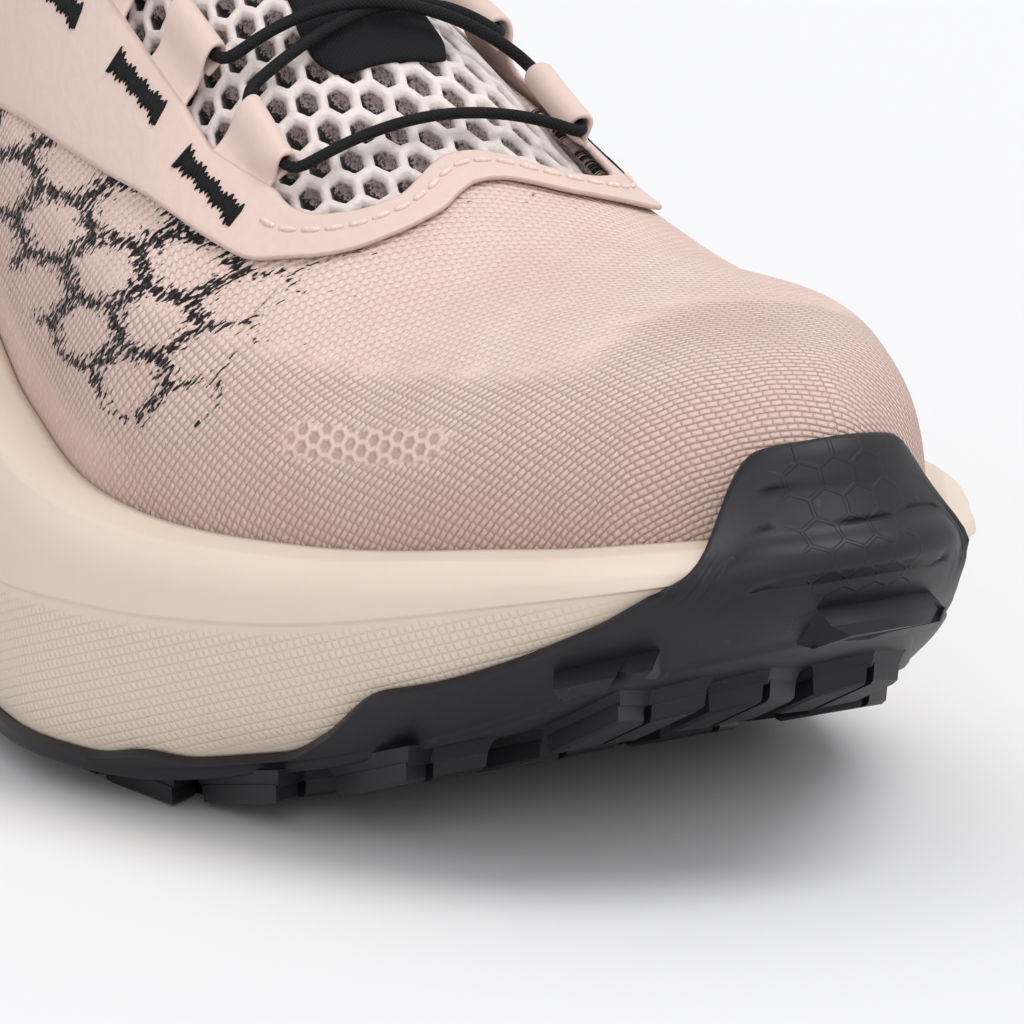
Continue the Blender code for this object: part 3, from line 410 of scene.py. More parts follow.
def prismFaces(rows, size, first=0):  # rings joined in a row, with a cap at each end
    faces = gridFaces(rows, size, first)
    faces.append(tuple(first + i for i in range(size)))
    faces.append(tuple(first + rows * size - 1 - i for i in range(size)))
    return faces


def sweep(path, radius, sides, flat=1.0):  # rings round a path, with an attribute of turn and run
    path = np.asarray(path)
    ahead = unit(np.gradient(path, axis=0))
    side = np.cross(ahead[0], (0.0, 0.0, 1.0))
    turns = 2 * np.pi * (np.arange(sides) + 0.5) / sides
    rings = []
    for centre, way in zip(path, ahead):
        side = unit(side - way * (side @ way))
        up = np.cross(side, way)
        rings.append(centre + radius * (np.cos(turns)[:, None] * side + flat * np.sin(turns)[:, None] * up))
    mark = np.stack(np.broadcast_arrays(runAlong(path)[:, None] * 1000, turns[None] / (2 * np.pi), 0.0), -1)
    return np.array(rings), mark.reshape(-1, 3)


# Node helpers: a value is a socket or a number, and new nodes join the tree of the first socket
def feed(socket, value):
    if isinstance(value, bpy.types.NodeSocket):
        socket.id_data.links.new(value, socket)
    else:
        socket.default_value = value


def calc(operation, *values):
    tree = next(value.id_data for value in values if isinstance(value, bpy.types.NodeSocket))
    node = tree.nodes.new("ShaderNodeMath")
    node.operation = operation
    for socket, value in zip(node.inputs, values):
        feed(socket, value)
    return node.outputs[0]


def plus(one, other):
    return calc("ADD", one, other)


def minus(one, other):
    return calc("SUBTRACT", one, other)


def times(one, other):
    return calc("MULTIPLY", one, other)


def timesPlus(one, other, more):
    return calc("MULTIPLY_ADD", one, other, more)


def ramp(value, low, high, first=0.0, last=1.0):  # eases from first to last between low and high
    node = value.id_data.nodes.new("ShaderNodeMapRange")
    node.interpolation_type = "SMOOTHSTEP"
    for socket, part in zip(node.inputs, (value, low, high, first, last)):
        feed(socket, part)
    return node.outputs[0]


def tint(share, first, second):
    node = share.id_data.nodes.new("ShaderNodeMix")
    node.data_type = "RGBA"
    for socket, part in ((0, share), (6, first), (7, second)):
        feed(node.inputs[socket], (*part, 1.0) if isinstance(part, tuple) else part)
    return node.outputs[2]


def attribute(tree, label):
    node = tree.nodes.new("ShaderNodeAttribute")
    node.attribute_name = label
    return node.outputs


def split(place):
    parts = place.id_data.nodes.new("ShaderNodeSeparateXYZ")
    feed(parts.inputs[0], place)
    return parts.outputs


def mapped(tree, label):  # the first two numbers of a point attribute, then all of it
    place = attribute(tree, label)["Vector"]
    return *split(place)[:2], place


def weight(tree, label):
    return attribute(tree, label)["Fac"]


def noise(place, scale, detail=2.0):
    node = place.id_data.nodes.new("ShaderNodeTexNoise")
    for label, value in (("Vector", place), ("Scale", scale), ("Detail", detail)):
        feed(node.inputs[label], value)
    return node.outputs[0]


def stretched(u, v, alongScale, acrossScale, detail=2.0):  # a noise longer one way than the other
    node = u.id_data.nodes.new("ShaderNodeCombineXYZ")
    feed(node.inputs[0], times(u, alongScale))
    feed(node.inputs[1], times(v, acrossScale))
    return noise(node.outputs[0], 1.0, detail)


def objectPlace(tree):
    return tree.nodes.new("ShaderNodeTexCoord").outputs["Object"]


def turned(u, v, degrees):
    c, s = math.cos(math.radians(degrees)), math.sin(math.radians(degrees))
    return timesPlus(u, c, times(v, s)), timesPlus(v, c, times(u, -s))


def bricks(u, v, wide, tall, stagger, sharpness=2.5, ends=1.0, corners=False):  # puffs in staggered rows
    rows = calc("DIVIDE", v, tall)
    lag = times(calc("FLOOR", rows), stagger)
    parts = []
    for place in (plus(calc("DIVIDE", u, wide), lag), rows):
        far = times(calc("ABSOLUTE", minus(calc("FRACT", place), 0.5)), 2.0)
        parts.append(calc("POWER", far, sharpness))
    if corners:  # only small holes where the puffs' corners meet
        return minus(1.0, times(*parts))
    return times(minus(1.0, times(parts[0], ends)), minus(1.0, parts[1]))


def hexagons(u, v):  # 0 at a cell's middle, 0.5 at its edge, with cells a distance 1 apart
    def middle(value, lag, size):
        return minus(calc("FLOORED_MODULO", plus(value, lag * size), size), size / 2)

    def chosen(one, other):
        return calc("ABSOLUTE", timesPlus(minus(one, other), nearer, other))

    spots = [(middle(u, lag, 1.0), middle(v, lag, math.sqrt(3.0))) for lag in (0.0, 0.5)]
    nearer = calc("LESS_THAN", *[timesPlus(x, x, times(y, y)) for x, y in spots])
    x, y = (chosen(one, other) for one, other in zip(*spots))
    return calc("MAXIMUM", x, timesPlus(x, 0.5, times(y, math.sqrt(3.0) / 2)))


def newMaterial(name, sockets):
    material = bpy.data.materials.new(name)
    material.use_nodes = True
    shader = material.node_tree.nodes["Principled BSDF"]
    for socket, value in sockets.items():
        shader.inputs[socket].default_value = (*value, 1.0) if isinstance(value, tuple) else value
    return material, material.node_tree, shader


def paint(shader, colour=None, roughness=None, height=None, depth=0.0003, strength=1.0):
    if colour is not None:
        feed(shader.inputs["Base Color"], colour)
    if roughness is not None:
        feed(shader.inputs["Roughness"], roughness)
    if height is not None:
        bump = shader.id_data.nodes.new("ShaderNodeBump")
        for label, value in (("Strength", strength), ("Distance", depth), ("Height", height)):
            feed(bump.inputs[label], value)
        feed(shader.inputs["Normal"], bump.outputs[0])


# Midsole
midsoleMake = {
    "columns": 260,
    "levels": [(0.0, 0.93, 26), (0.94, 1.06, 13), (1.1, 2.0, 22)],  # from, to and rows, closer at the step
    "foam": (0.690, 0.580, 0.478),
    # shade: painted shade in the grid's dents, and the darker tone of the random cloud
    "shade": (0.580, 0.480, 0.388),
    "gridPitch": 1.15,
    "gridTurn": 18.0,
    "gridDepth": 0.00018,
    "dentShade": 0.40,
    "cloudTint": 0.12,
}


def foamMaterial(make):
    material, tree, shader = newMaterial("beigeFoam", {
        "Roughness": 0.62, "Subsurface Weight": 0.06, "Subsurface Scale": 0.004, "Coat Weight": 0.04})
    u, v, _ = mapped(tree, "flat")
    first, second = turned(u, v, make["gridTurn"])
    square = bricks(first, second, make["gridPitch"], make["gridPitch"], 0.0, 3.5)
    speck = noise(objectPlace(tree), 900.0, 3.0)
    cloud = noise(objectPlace(tree), 40.0)
    dent = times(minus(1.0, square), weight(tree, "gridZone"))
    # painted shade: the grid's dents are darkened toward the shade colour
    colour = tint(times(dent, make["dentShade"]), make["foam"], make["shade"])
    colour = tint(ramp(cloud, 0.35, 0.75, 0.0, make["cloudTint"]), colour, make["shade"])
    height = minus(times(speck, 0.12), dent)
    paint(shader, colour, ramp(speck, 0.2, 0.8, 0.56, 0.68), height, make["gridDepth"], 0.8)
    return material


def makeMidsole(make):
    inner, along = columnsRound(make["columns"])
    levels = np.concatenate([np.linspace(*span) for span in make["levels"]])
    outer = sidePoint(inner[None], along[None], levels[:, None])
    spot = insetPlan(inner, along, ledgeInset(inner, along) - form["gap"])
    rows = []
    for part in np.linspace(0.0, 1.0, 7)[1:]:
        start = outer[-1, :, :2]
        rows.append(np.column_stack([start + (spot - start) * part, rimHeight(along)]))
    rows.append(np.column_stack([spot, rimHeight(along) - form["recess"]]))
    grid = np.concatenate([outer, np.array(rows)])
    count, size = grid.shape[:2]
    run = runAlong(outer[20]) * 1000
    flat = np.stack(np.broadcast_arrays(run[None], grid[..., 2] * 1000, 0.0), -1).reshape(-1, 3)
    deep = np.concatenate([levels, np.full(len(rows), 2.0)])[:, None]
    zone = np.clip((0.93 - deep) / 0.05, 0, 1) * np.clip((deep - 0.02) / 0.12, 0, 1)
    zone = zone * np.clip((along - 0.50) / 0.14, 0, 1)[None] * np.clip((0.97 - along) / 0.05, 0, 1)[None]
    faces = shellFaces(count, size)
    piece = newMesh("midsoleFoam", grid.reshape(-1, 3), faces, foamMaterial(make),
                    attributes={"flat": flat, "gridZone": zone.ravel()})
    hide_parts("midsole")


makeMidsole(midsoleMake)
print("midsole made")

# Outsole rubber, its wrap and its lugs
rubberMake = {
    "columns": 300,
    "rows": 34,
    "colour": (0.0120, 0.0108, 0.0135),
    "lugDraft": 0.86,
    "lugBevel": 0.00035,
    "sipe": 0.0011,
    "sipeDepth": 0.55,
    "edgeReach": 0.0036,
    "edgeCut": 0.0030,
    "edgeRing": [  # how far out, level and draft of each corner
        (0.0, 0.0, 0.0), (0.75, 0.02, 0.05), (1.0, 0.18, 0.13), (1.0, 0.84, 0.15), (0.80, 0.98, 0.07),
        (0.0, 1.0, 0.0)],
    "scuff": (0.10, 0.098, 0.10),
    "hexPitch": 4.2,
    "wrapPasses": 60,
    "wrapHollow": 0.0002,
    "columnPasses": 12,
}
lugRows = [
    (0.055, (-0.45, 0.45), 0.013, 0.017, 0.0),
    (0.115, (-0.68, 0.0, 0.68), 0.012, 0.014, 0.25),
    (0.180, (-0.72, -0.24, 0.24, 0.72), 0.012, 0.012, 0.25),
    (0.245, (-0.72, -0.24, 0.24, 0.72), 0.012, 0.012, 0.25),
    (0.310, (-0.70, 0.70), 0.012, 0.013, 0.25),
    (0.390, (-0.68, 0.66), 0.012, 0.012, 0.0),
    (0.470, (-0.70, 0.66), 0.012, 0.012, 0.0),
    (0.550, (-0.74, -0.26, 0.22, 0.70), 0.013, 0.012, -0.25),
    (0.615, (-0.76, -0.28, 0.20, 0.70), 0.013, 0.013, -0.25),
    (0.685, (-0.78, -0.30, 0.20, 0.72), 0.013, 0.013, -0.25),
    (0.758, (-0.82, -0.28, 0.24, 0.76), 0.014, 0.013, -0.25),
    (0.835, (-0.84, -0.34, 0.22, 0.78), 0.013, 0.012, -0.25),
    (0.912, (-0.50, 0.08, 0.66), 0.013, 0.013, -0.20),
]
edgeLugRows = [  # start and end short of the toe, outer side negative, and the lower and upper level
    (-0.068, -0.032, -0.10, 0.27),
    (-0.004, 0.018, -0.17, 0.42),
]


def bumperPoint(inner, along, level):  # the midsole's side, then up the toe of the last
    inner, along, level = np.broadcast_arrays(inner, along, level)
    foot, top = featherPoint(inner, along), ridgePoint(along)
    rise = (np.maximum(level, form["landing"]) - 2) * form["bumperRise"]
    power = fullness(inner, along)[1]
    turn = np.arcsin((rise / (top[..., 2] - foot[..., 2])) ** (1 / power))
    landing = lastPoint(inner, along, turn * 2 / math.pi)
    part = np.clip((level - 2) / (form["landing"] - 2), 0.0, 1.0)[..., None]
    above = sidePoint(inner, along, 2.0) * (1 - part) + landing * part
    return np.where((level <= 2)[..., None], sidePoint(inner, along, np.minimum(level, 2.0)), above)


def rubberPoint(inner, along, level, out):
    inner, along, level = np.broadcast_arrays(inner, along, level)
    _, normal = planOf(inner, along)
    run = bumperPoint(inner, along, level + 0.03) - bumperPoint(inner, along, level - 0.03)
    tilt = np.arctan2(-(run[..., :2] * normal).sum(-1), run[..., 2])
    outward = np.concatenate([normal * np.cos(tilt)[..., None], np.sin(tilt)[..., None]], -1)
    eased = out + form["wrapEase"] * np.minimum(level / 2, 1.0)
    return bumperPoint(inner, along, level) + eased[..., None] * outward


def rubberMaterial(make):
    material, tree, shader = newMaterial("blackRubber", {
        "Roughness": 0.5, "Specular IOR Level": 0.34})
    u, v, _ = mapped(tree, "flat")
    cell = hexagons(*[calc("DIVIDE", value, make["hexPitch"]) for value in (u, v)])
    emboss = times(ramp(cell, 0.425, 0.465), weight(tree, "hexZone"))
    grain = noise(objectPlace(tree), 1400.0, 4.0)
    cloud = noise(objectPlace(tree), 60.0)
    scuff = ramp(noise(objectPlace(tree), 420.0, 6.0), 0.66, 0.74, 0.0, 0.25)
    colour = tint(scuff, make["colour"], make["scuff"])
    height = plus(emboss, times(grain, 0.12))
    paint(shader, colour, ramp(cloud, 0.3, 0.7, 0.42, 0.54), height, 0.00012, 0.7)
    return material


def easedWrap(make, outer, normal, top):  # fills the ledge at the midsole's rim with one smooth curve
    smooth = outer.copy()
    for _ in range(make["wrapPasses"]):
        smooth[1:-1] = (smooth[:-2] + 2 * smooth[1:-1] + smooth[2:]) / 4
    way = np.column_stack([normal * 0.8, np.full(len(normal), 0.6)])
    push = np.maximum(((smooth - outer) * way[None]).sum(-1), -make["wrapHollow"])
    return outer + way[None] * (push * fade(top, 1.9, 2.4)[None])[..., None]


def makeOutsole(make, material):
    inner, along = columnsRound(make["columns"])
    turn = np.arccos(1 - 2 * np.clip(along, 0.0, 1.0)) / np.pi
    top = np.maximum(bySide(inner, rubberEdge(turn)), 0.02)
    edge = sideInset(inner, along, 0.0)
    rows = []
    for height, inset in ((0.0, 0.0), (0.00025, -0.0009), (0.0008, -form["wrapThickness"])):
        spot = insetPlan(inner, along, edge + inset)
        rows.append(np.column_stack([spot, underside(shareOf(spot[:, 0])) + height]))
    shares = np.linspace(0.0, 1.0, make["rows"])[1:]
    thick = form["wrapThickness"]
    wrap = [rubberPoint(inner, along, top * share, thick + form["gap"]) for share in shares[:-2]]
    rows += list(easedWrap(make, np.array(wrap), planOf(inner, along)[1], top))
    for part, out in ((0.985, 0.86), (0.997, 0.55), (1.0, 0.25), (1.0, 0.0)):
        rows.append(rubberPoint(inner, along, top * part, thick * out + form["gap"]))
    for share in shares[:-1][::-4]:
        rows.append(rubberPoint(inner, along, top * share, form["gap"]))
    spot = insetPlan(inner, along, edge - form["gap"])
    rows.append(np.column_stack([spot, midsoleBottom(shareOf(spot[:, 0])) - form["gap"]]))
    grid = np.array(rows)
    ease = (0.3 * fade(top, 0.8, 1.3) + 0.7 * fade(top, 1.6, 2.3))[None, :, None]
    for _ in range(make["columnPasses"]):
        mean = (np.roll(grid, 1, axis=1) + 2 * grid + np.roll(grid, -1, axis=1)) / 4
        grid = grid + ease * (mean - grid)
    count, size = grid.shape[:2]
    rise = np.cumsum(np.linalg.norm(np.diff(grid, axis=0, prepend=grid[:1]), axis=2), axis=0) * 1000
    flat = np.stack(np.broadcast_arrays(grid[..., 1] * 1000, rise, 0.0), -1).reshape(-1, 3)
    zone = fade(along, 0.95, 0.97)[None] * fade(-np.abs(grid[..., 1] - 0.0005), -0.0085, -0.0065)
    zone = zone * fade(grid[..., 2], 0.030, 0.040) * fade(-grid[..., 2], -0.056, -0.054)
    faces = shellFaces(count, size)
    piece = newMesh("outsoleRubber", grid.reshape(-1, 3), faces, material,
                    attributes={"flat": flat, "hexZone": zone.ravel()})
    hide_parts("outsole")


def makeLugs(make, material):
    points, faces = [], []

    def block(head, spot, levels):  # a prism of the outline head, through scales and levels
        first, count = len(points), len(head)
        for scale, level in levels:
            for x, y in head:
                x, y = spot[0] + x * scale, spot[1] + y * scale
                points.append((x, y, float(underside(shareOf(x))) + level))
        faces.extend(prismFaces(len(levels), count, first))

    deep = form["lugHeight"]
    for along, places, length, width, skew in lugRows:
        for across in places:
            inner = across > 0
            edge = insetPlan(inner, along, sideInset(inner, along, 0.0))
            lean = math.copysign(skew * length, across) if across else 0.0
            back, front, side = lean * 0.4 - length / 2, length / 2 - lean, width / 2
            tip, tail, gap = length / 2 + lean * 0.3, -length / 2 - lean * 0.2, make["sipe"] / 2
            middle = (tip + tail) / 2
            spot = (edge[0], edge[1] * abs(across))
            low = -deep * (1 - make["sipeDepth"])
            whole = [(back, -side), (front, -side), (tip, 0.0), (front, side), (back, side), (tail, 0.0)]
            block(whole, spot, [(1.10, 0.0006), (1.0, -0.0006), (make["lugDraft"] * 1.08, low)])
            for half in ([(back, -side), (front, -side), (tip, -gap), (tail, -gap)],
                         [(tail, gap), (tip, gap), (front, side), (back, side)]):
                half = [(x * 0.95 + middle * 0.05, y) for x, y in half]
                block(half, spot, [(0.97, low + 0.0004), (0.94, -deep * 0.9), (make["lugDraft"], -deep)])
    for start, end, low, high in edgeLugRows:
        middle, cut = (start + end) / 2, make["edgeCut"] / shoeLength
        for near, far, bend in ((start, middle, 1), (middle, end, -1)):
            rings = []
            for part in np.linspace(0.0, 1.0, 9):
                ring = []
                for out, level, draft in make["edgeRing"]:
                    sway = cut * (0.25 - 1.6 * (level - 0.5) * bend) if out > 0.5 else -cut
                    slope = (end - start) * draft
                    ends = (near + slope, far - sway) if bend == 1 else (near + sway, far - slope)
                    place = ends[0] + (ends[1] - ends[0]) * part
                    reach = form["gap"] + form["wrapThickness"] * (0.4 + 0.6 * out) + make["edgeReach"] * out
                    height = np.array(low + (high - low) * level)
                    ring.append(rubberPoint(np.array(place > 0), 1 - abs(place), height, reach))
                rings.append(ring)
            faces.extend(prismFaces(len(rings), len(rings[0]), len(points)))
            points.extend(np.array(rings).reshape(-1, 3).tolist())
    lugs = newMesh("outsoleLugs", points, faces, material, weld=0)
    soften = lugs.modifiers.new("soften", "BEVEL")
    soften.width, soften.segments, soften.limit_method = make["lugBevel"], 2, "ANGLE"
    lugs.data.set_sharp_from_angle(angle=math.radians(30))
    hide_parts("outsole")


rubber = rubberMaterial(rubberMake)
makeOutsole(rubberMake, rubber)
makeLugs(rubberMake, rubber)
print("outsole made")

# Insole
insoleMake = {
    "columns": 120,
    "thickness": 0.0042,
    "clear": 0.0023,
    "colour": (0.30, 0.22, 0.20),
    "shade": (0.16, 0.12, 0.11),
}


def splitPlace(tree):  # x, y and z in mm
    return [times(part, 1000.0) for part in split(objectPlace(tree))]


def makeInsole(make):
    material, tree, shader = newMaterial("insoleCloth", {"Roughness": 0.9, "Sheen Weight": 0.25})
    x, y, _ = splitPlace(tree)
    weave = bricks(x, y, 1.4, 0.9, 0.5)
    colour = tint(ramp(weave, 0.1, 0.8), make["shade"], make["colour"])
    paint(shader, colour, None, weave, 0.0002, 0.7)
    inner, along = columnsRound(make["columns"])
    base = rimHeight(along) - form["recess"] + form["gap"]
    rows = []
    for extra, lift in ((0.0008, 0.0), (0.0, 0.0008), (0.0, make["thickness"]), (0.0015, 0.0050),
                        (0.0045, 0.0046), (0.009, 0.0043)):
        spot = insetPlan(inner, along, ledgeInset(inner, along) + make["clear"] + extra)
        rows.append(np.column_stack([spot, base + lift]))
    grid = np.array(rows)
    count, size = grid.shape[:2]
    faces = shellFaces(count, size)
    piece = newMesh("insoleBed", grid.reshape(-1, 3), faces, material)
    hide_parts("insole")


makeInsole(insoleMake)
print("insole made")

# Upper
upperMake = {
    "sideColumns": 230,
    "rows": 84,
    "innerRows": 26,
    "rimRows": 6,
    "wall": 0.0020,
    "padding": 0.0075,
    "padFoot": 0.66,
    "padSpan": 0.25,
    "padFront": 0.36,
    "padFade": 0.08,
    "light": (0.700, 0.520, 0.456),
    "pale": (0.738, 0.568, 0.503),
    # low: painted shade toward the feather line
    "low": (0.510, 0.350, 0.300),
    # gapShade: painted shade in the gaps between the stitches
    "gapShade": (0.270, 0.160, 0.130),
    "black": (0.010, 0.008, 0.009),
    # fleckSheen: painted sheen on light flecks
    "fleckSheen": (0.86, 0.71, 0.64),
    "lining": (0.48, 0.36, 0.33),
    "liningShade": (0.24, 0.17, 0.155),
    "embossPitch": 2.2,
    "hexPitch": 8.1,
    "hexStart": 56.05,
    "hexColumns": [  # distance forward in mm and number of the column
        (-135.0, -12.0), (-33.0, -4.0), (1.0, -1.0), (17.1, 0.0), (32.5, 1.0), (45.0, 2.0), (55.1, 3.0),
        (63.5, 4.0), (71.0, 5.0), (150.0, 16.0)],
    "tipWindow": 16,
    "stitchTurn": 66.0,
}
creaseRows = [  # soft folds: start and end on the flattened skin, depth and half width, all in mm
    (72.0, -12.0, 84.0, -44.0, -0.35, 4.0),
    (80.0, 4.0, 88.0, -28.0, 0.25, 3.5),
    (60.0, -34.0, 78.0, -52.0, 0.30, 4.5),
    (86.0, -6.0, 97.0, -30.0, -0.25, 4.0),
    (74.0, 14.0, 86.0, 42.0, -0.35, 4.0),
    (62.0, 32.0, 78.0, 50.0, 0.30, 4.5),
    (20.0, -42.0, 44.0, -40.0, -0.30, 3.5),
    (20.0, 42.0, 44.0, 40.0, -0.30, 3.5),
    (-40.0, -62.0, -18.0, -50.0, 0.35, 5.0),
    (-40.0, 62.0, -18.0, 50.0, 0.35, 5.0),
]
throatRows = [
    (0.2000, 0.0293), (0.6335, 0.0293), (0.6760, 0.0248), (0.6830, 0.0245), (0.6925, 0.0230),
    (0.7010, 0.0205), (0.7080, 0.0165), (0.7092, 0.0125), (0.7096, 0.0060), (0.7097, 0.0000)]
throatFront = throatRows[-1][0]
throatStations = [0.7088, 0.7094, 0.70965, 0.7045, 0.7063]  # more columns where the throat's edge bends


def throatEdge(along):
    table = np.array(throatRows)
    return np.where(along >= throatFront, 0.0, np.interp(along, table[:, 0], table[:, 1]))


def upperColumns(make):
    turns = np.linspace(0.0, 1.0, make["sideColumns"] + 1)
    along = [*((1 - np.cos(np.pi * turns)) / 2), *(row[0] for row in throatRows[1:]), *throatStations]
    return ringFrom(np.unique(np.round(along, 6)))


def upperSections(make):  # lines up the last, their running length, and where each column ends
    inner, along = upperColumns(make)
    shares = np.linspace(0.0, 1.0, 241)
    lines = lastPoint(inner[None], along[None], shares[:, None])
    climb = np.cumsum(np.linalg.norm(np.diff(lines, axis=0, prepend=lines[:1]), axis=2), axis=0)
    whole = climb[-1]
    edge = throatEdge(along)
    ends = whole - edge
    for c in range(len(along)):
        over = lines[:, c, 2] - collarHeight(shareOf(lines[:, c, 0]))
        hit = np.nonzero(over >= 0)[0]
        if len(hit) and hit[0] > 0:
            k = hit[0]
            part = -over[k - 1] / (over[k] - over[k - 1])
            ends[c] = min(ends[c], climb[k - 1, c] + part * (climb[k, c] - climb[k - 1, c]))
    return inner, along, lines, climb, whole, ends, edge > 0


def resample(lines, climb, reach):  # reach is rows by columns of distances up each column
    found = np.empty((*reach.shape, 3))
    for c in range(reach.shape[1]):
        for k in range(3):
            found[:, c, k] = np.interp(reach[:, c], climb[:, c], lines[:, c, k])
    return found


def gridNormals(grid, partner):
    down = np.gradient(grid, axis=0)
    wide = np.roll(grid, -1, axis=1) - np.roll(grid, 1, axis=1)
    normal = unit(np.cross(wide, down))
    normal[-1, partner[0]] = unit(normal[-1, partner[0]] + normal[-1, partner[1]])
    return normal


def flatPlace(inner, along, distance):  # forward and across in mm, as if the skin were rolled out flat
    start, foot = ridgePoint(along), featherPoint(inner, along)
    ray = unit((foot - start)[:, :2])
    return (start[:, :2] + ray * distance[..., None]) * 1000


def creases(place):
    push = np.zeros(place.shape[:-1])
    for u0, v0, u1, v1, depth, width in creaseRows:
        span = np.array([u1 - u0, v1 - v0])
        part = ((place - (u0, v0)) @ span) / (span @ span)
        far = np.linalg.norm(place - (u0, v0) - np.clip(part, 0, 1)[..., None] * span, axis=-1)
        push += depth * np.exp(-(far / width) ** 2) * np.clip(1.3 - np.abs(2 * part - 1), 0, 1)
    return push / 1000


def makeUpper(make, material, lining):
    inner, along, lines, climb, whole, ends, opened = upperSections(make)
    size = len(along)
    mirror = (size - np.arange(size)) % size
    closed = np.nonzero(~opened)[0]

    def wallAt(points):
        share, foot, front = shareOf(points[..., 0]), make["padFoot"], make["padFront"]
        ease = fade(points[..., 2] / collarHeight(share), foot, foot + make["padSpan"])
        ease = ease * fade(-share, -front, make["padFade"] - front)
        return make["wall"] + (make["padding"] - make["wall"]) * ease

    endWall = wallAt(resample(lines, climb, ends[None])[0])
    stop = np.where(opened, ends - endWall / 2, ends)
    reach = np.linspace(0.0, 1.0, make["rows"])[:, None] * stop[None]
    outer = resample(lines, climb, reach)
    tip = np.argmax(along) + np.arange(-make["tipWindow"], make["tipWindow"] + 1)
    for _ in range(10):
        outer[:, tip] = (outer[:, tip - 1] + 2 * outer[:, tip] + outer[:, tip + 1]) / 4
    partner = (closed, mirror[closed])
    normal = gridNormals(outer, partner)
    if (normal[make["rows"] // 2] * (outer[make["rows"] // 2] - outer.mean((0, 1)))).sum() < 0:
        normal = -normal
    distance = whole[None] - reach
    edgeFade = fade(reach, 0.004, 0.012) * fade(distance - throatEdge(along)[None], 0.002, 0.010)
    edgeFade = np.where(opened[None], edgeFade, fade(reach, 0.004, 0.012))
    outer = outer + normal * (creases(flatPlace(inner, along, distance)) * edgeFade)[..., None]
    wall = wallAt(outer)
    innerSkin = outer - normal * wall[..., None]
    innerSkin[..., 2] = np.maximum(innerSkin[..., 2], rimHeight(along)[None] - form["recess"] + 0.0001)
    way = unit(np.gradient(outer, axis=0)[-1])
    rim = []
    for angle in np.linspace(0.0, np.pi, make["rimRows"] + 2)[1:-1]:
        middle = outer[-1] - normal[-1] * endWall[:, None] / 2
        push = np.where(opened, np.sin(angle), 0.0)[:, None] * way * endWall[:, None] / 2
        rim.append(middle + normal[-1] * np.cos(angle) * endWall[:, None] / 2 + push)
    tuck = np.array([0.0, 0.0, form["recess"] - form["gap"]])
    innerRows = innerSkin[np.linspace(make["rows"] - 1, 0, make["innerRows"]).round().astype(int)]
    innerFoot = outer[0] - unit(normal[0] * [1, 1, 0]) * make["wall"]
    grid = np.array([outer[0] - tuck, *outer, *rim, *innerRows[:-1], innerFoot, innerFoot - tuck])
    count = len(grid)
    last = (count - 1) * size
    rimStart, rimEnd = make["rows"], make["rows"] + len(rim) + 1
    faces, parts = [], []
    for n, face in enumerate(gridFaces(count, size)):
        row, column = divmod(n, size)
        if rimStart <= row < rimEnd and not opened[column] and not opened[(column + 1) % size]:
            continue
        faces.append(face)
        parts.append(int(row >= rimEnd - 3))
    faces += [(i, last + i, last + (i + 1) % size, (i + 1) % size) for i in range(size)]
    parts += [1] * size
    ends = np.repeat((whole - stop)[None], count - make["rows"] - 1, 0)
    distance = np.concatenate([[whole], distance, ends])
    flat = np.zeros((count, size, 3))
    flat[..., :2] = flatPlace(inner, along, distance)
    masks = upperMasks(make, flat, np.broadcast_to(along, (count, size)), distance, whole)
    piece = newMesh("upperKnit", grid.reshape(-1, 3), faces, material, parts=parts,
                    attributes={"flat": flat.reshape(-1, 3), **masks})
    piece.data.materials.append(lining)
    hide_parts("upper")


def upperMasks(make, flat, along, distance, whole):
    low = np.clip(whole[None] - distance, 0, None) * 1000  # height over the skin from the feather line
    u, v = flat[..., 0], flat[..., 1]
    hexBand = fade(low, 6.5, 12.5) * fade(along, 0.30, 0.36) * fade(-u, -74.0, -46.0)
    column = np.interp(u, *np.transpose(make["hexColumns"]))
    down = (np.abs(v) - make["hexStart"]) / make["hexPitch"]
    hexPlace = np.stack([down + column, column * math.sqrt(3.0) / 2, 0 * u], -1)
    toe = fade(along + low * 0.0016, 0.86, 0.95)
    net = fade(low, 21.0, 27.0) * fade(-along - low * 0.0006, -0.935, -0.895)
    emboss = fade(low, 10.0, 11.0) * fade(-low, -15.5, -14.5) * fade(u, 72.0, 75.0) * fade(-u, -98.0, -94.0)
    plain = fade(-low, -8.0, -4.0) * fade(-along, -0.70, -0.62)
    masks = {"hexBand": hexBand, "toe": toe, "net": net, "emboss": emboss * (v < 0), "plain": plain,
             "height": low}
    return {"hexPlace": hexPlace.reshape(-1, 3), **{label: mask.ravel() for label, mask in masks.items()}}


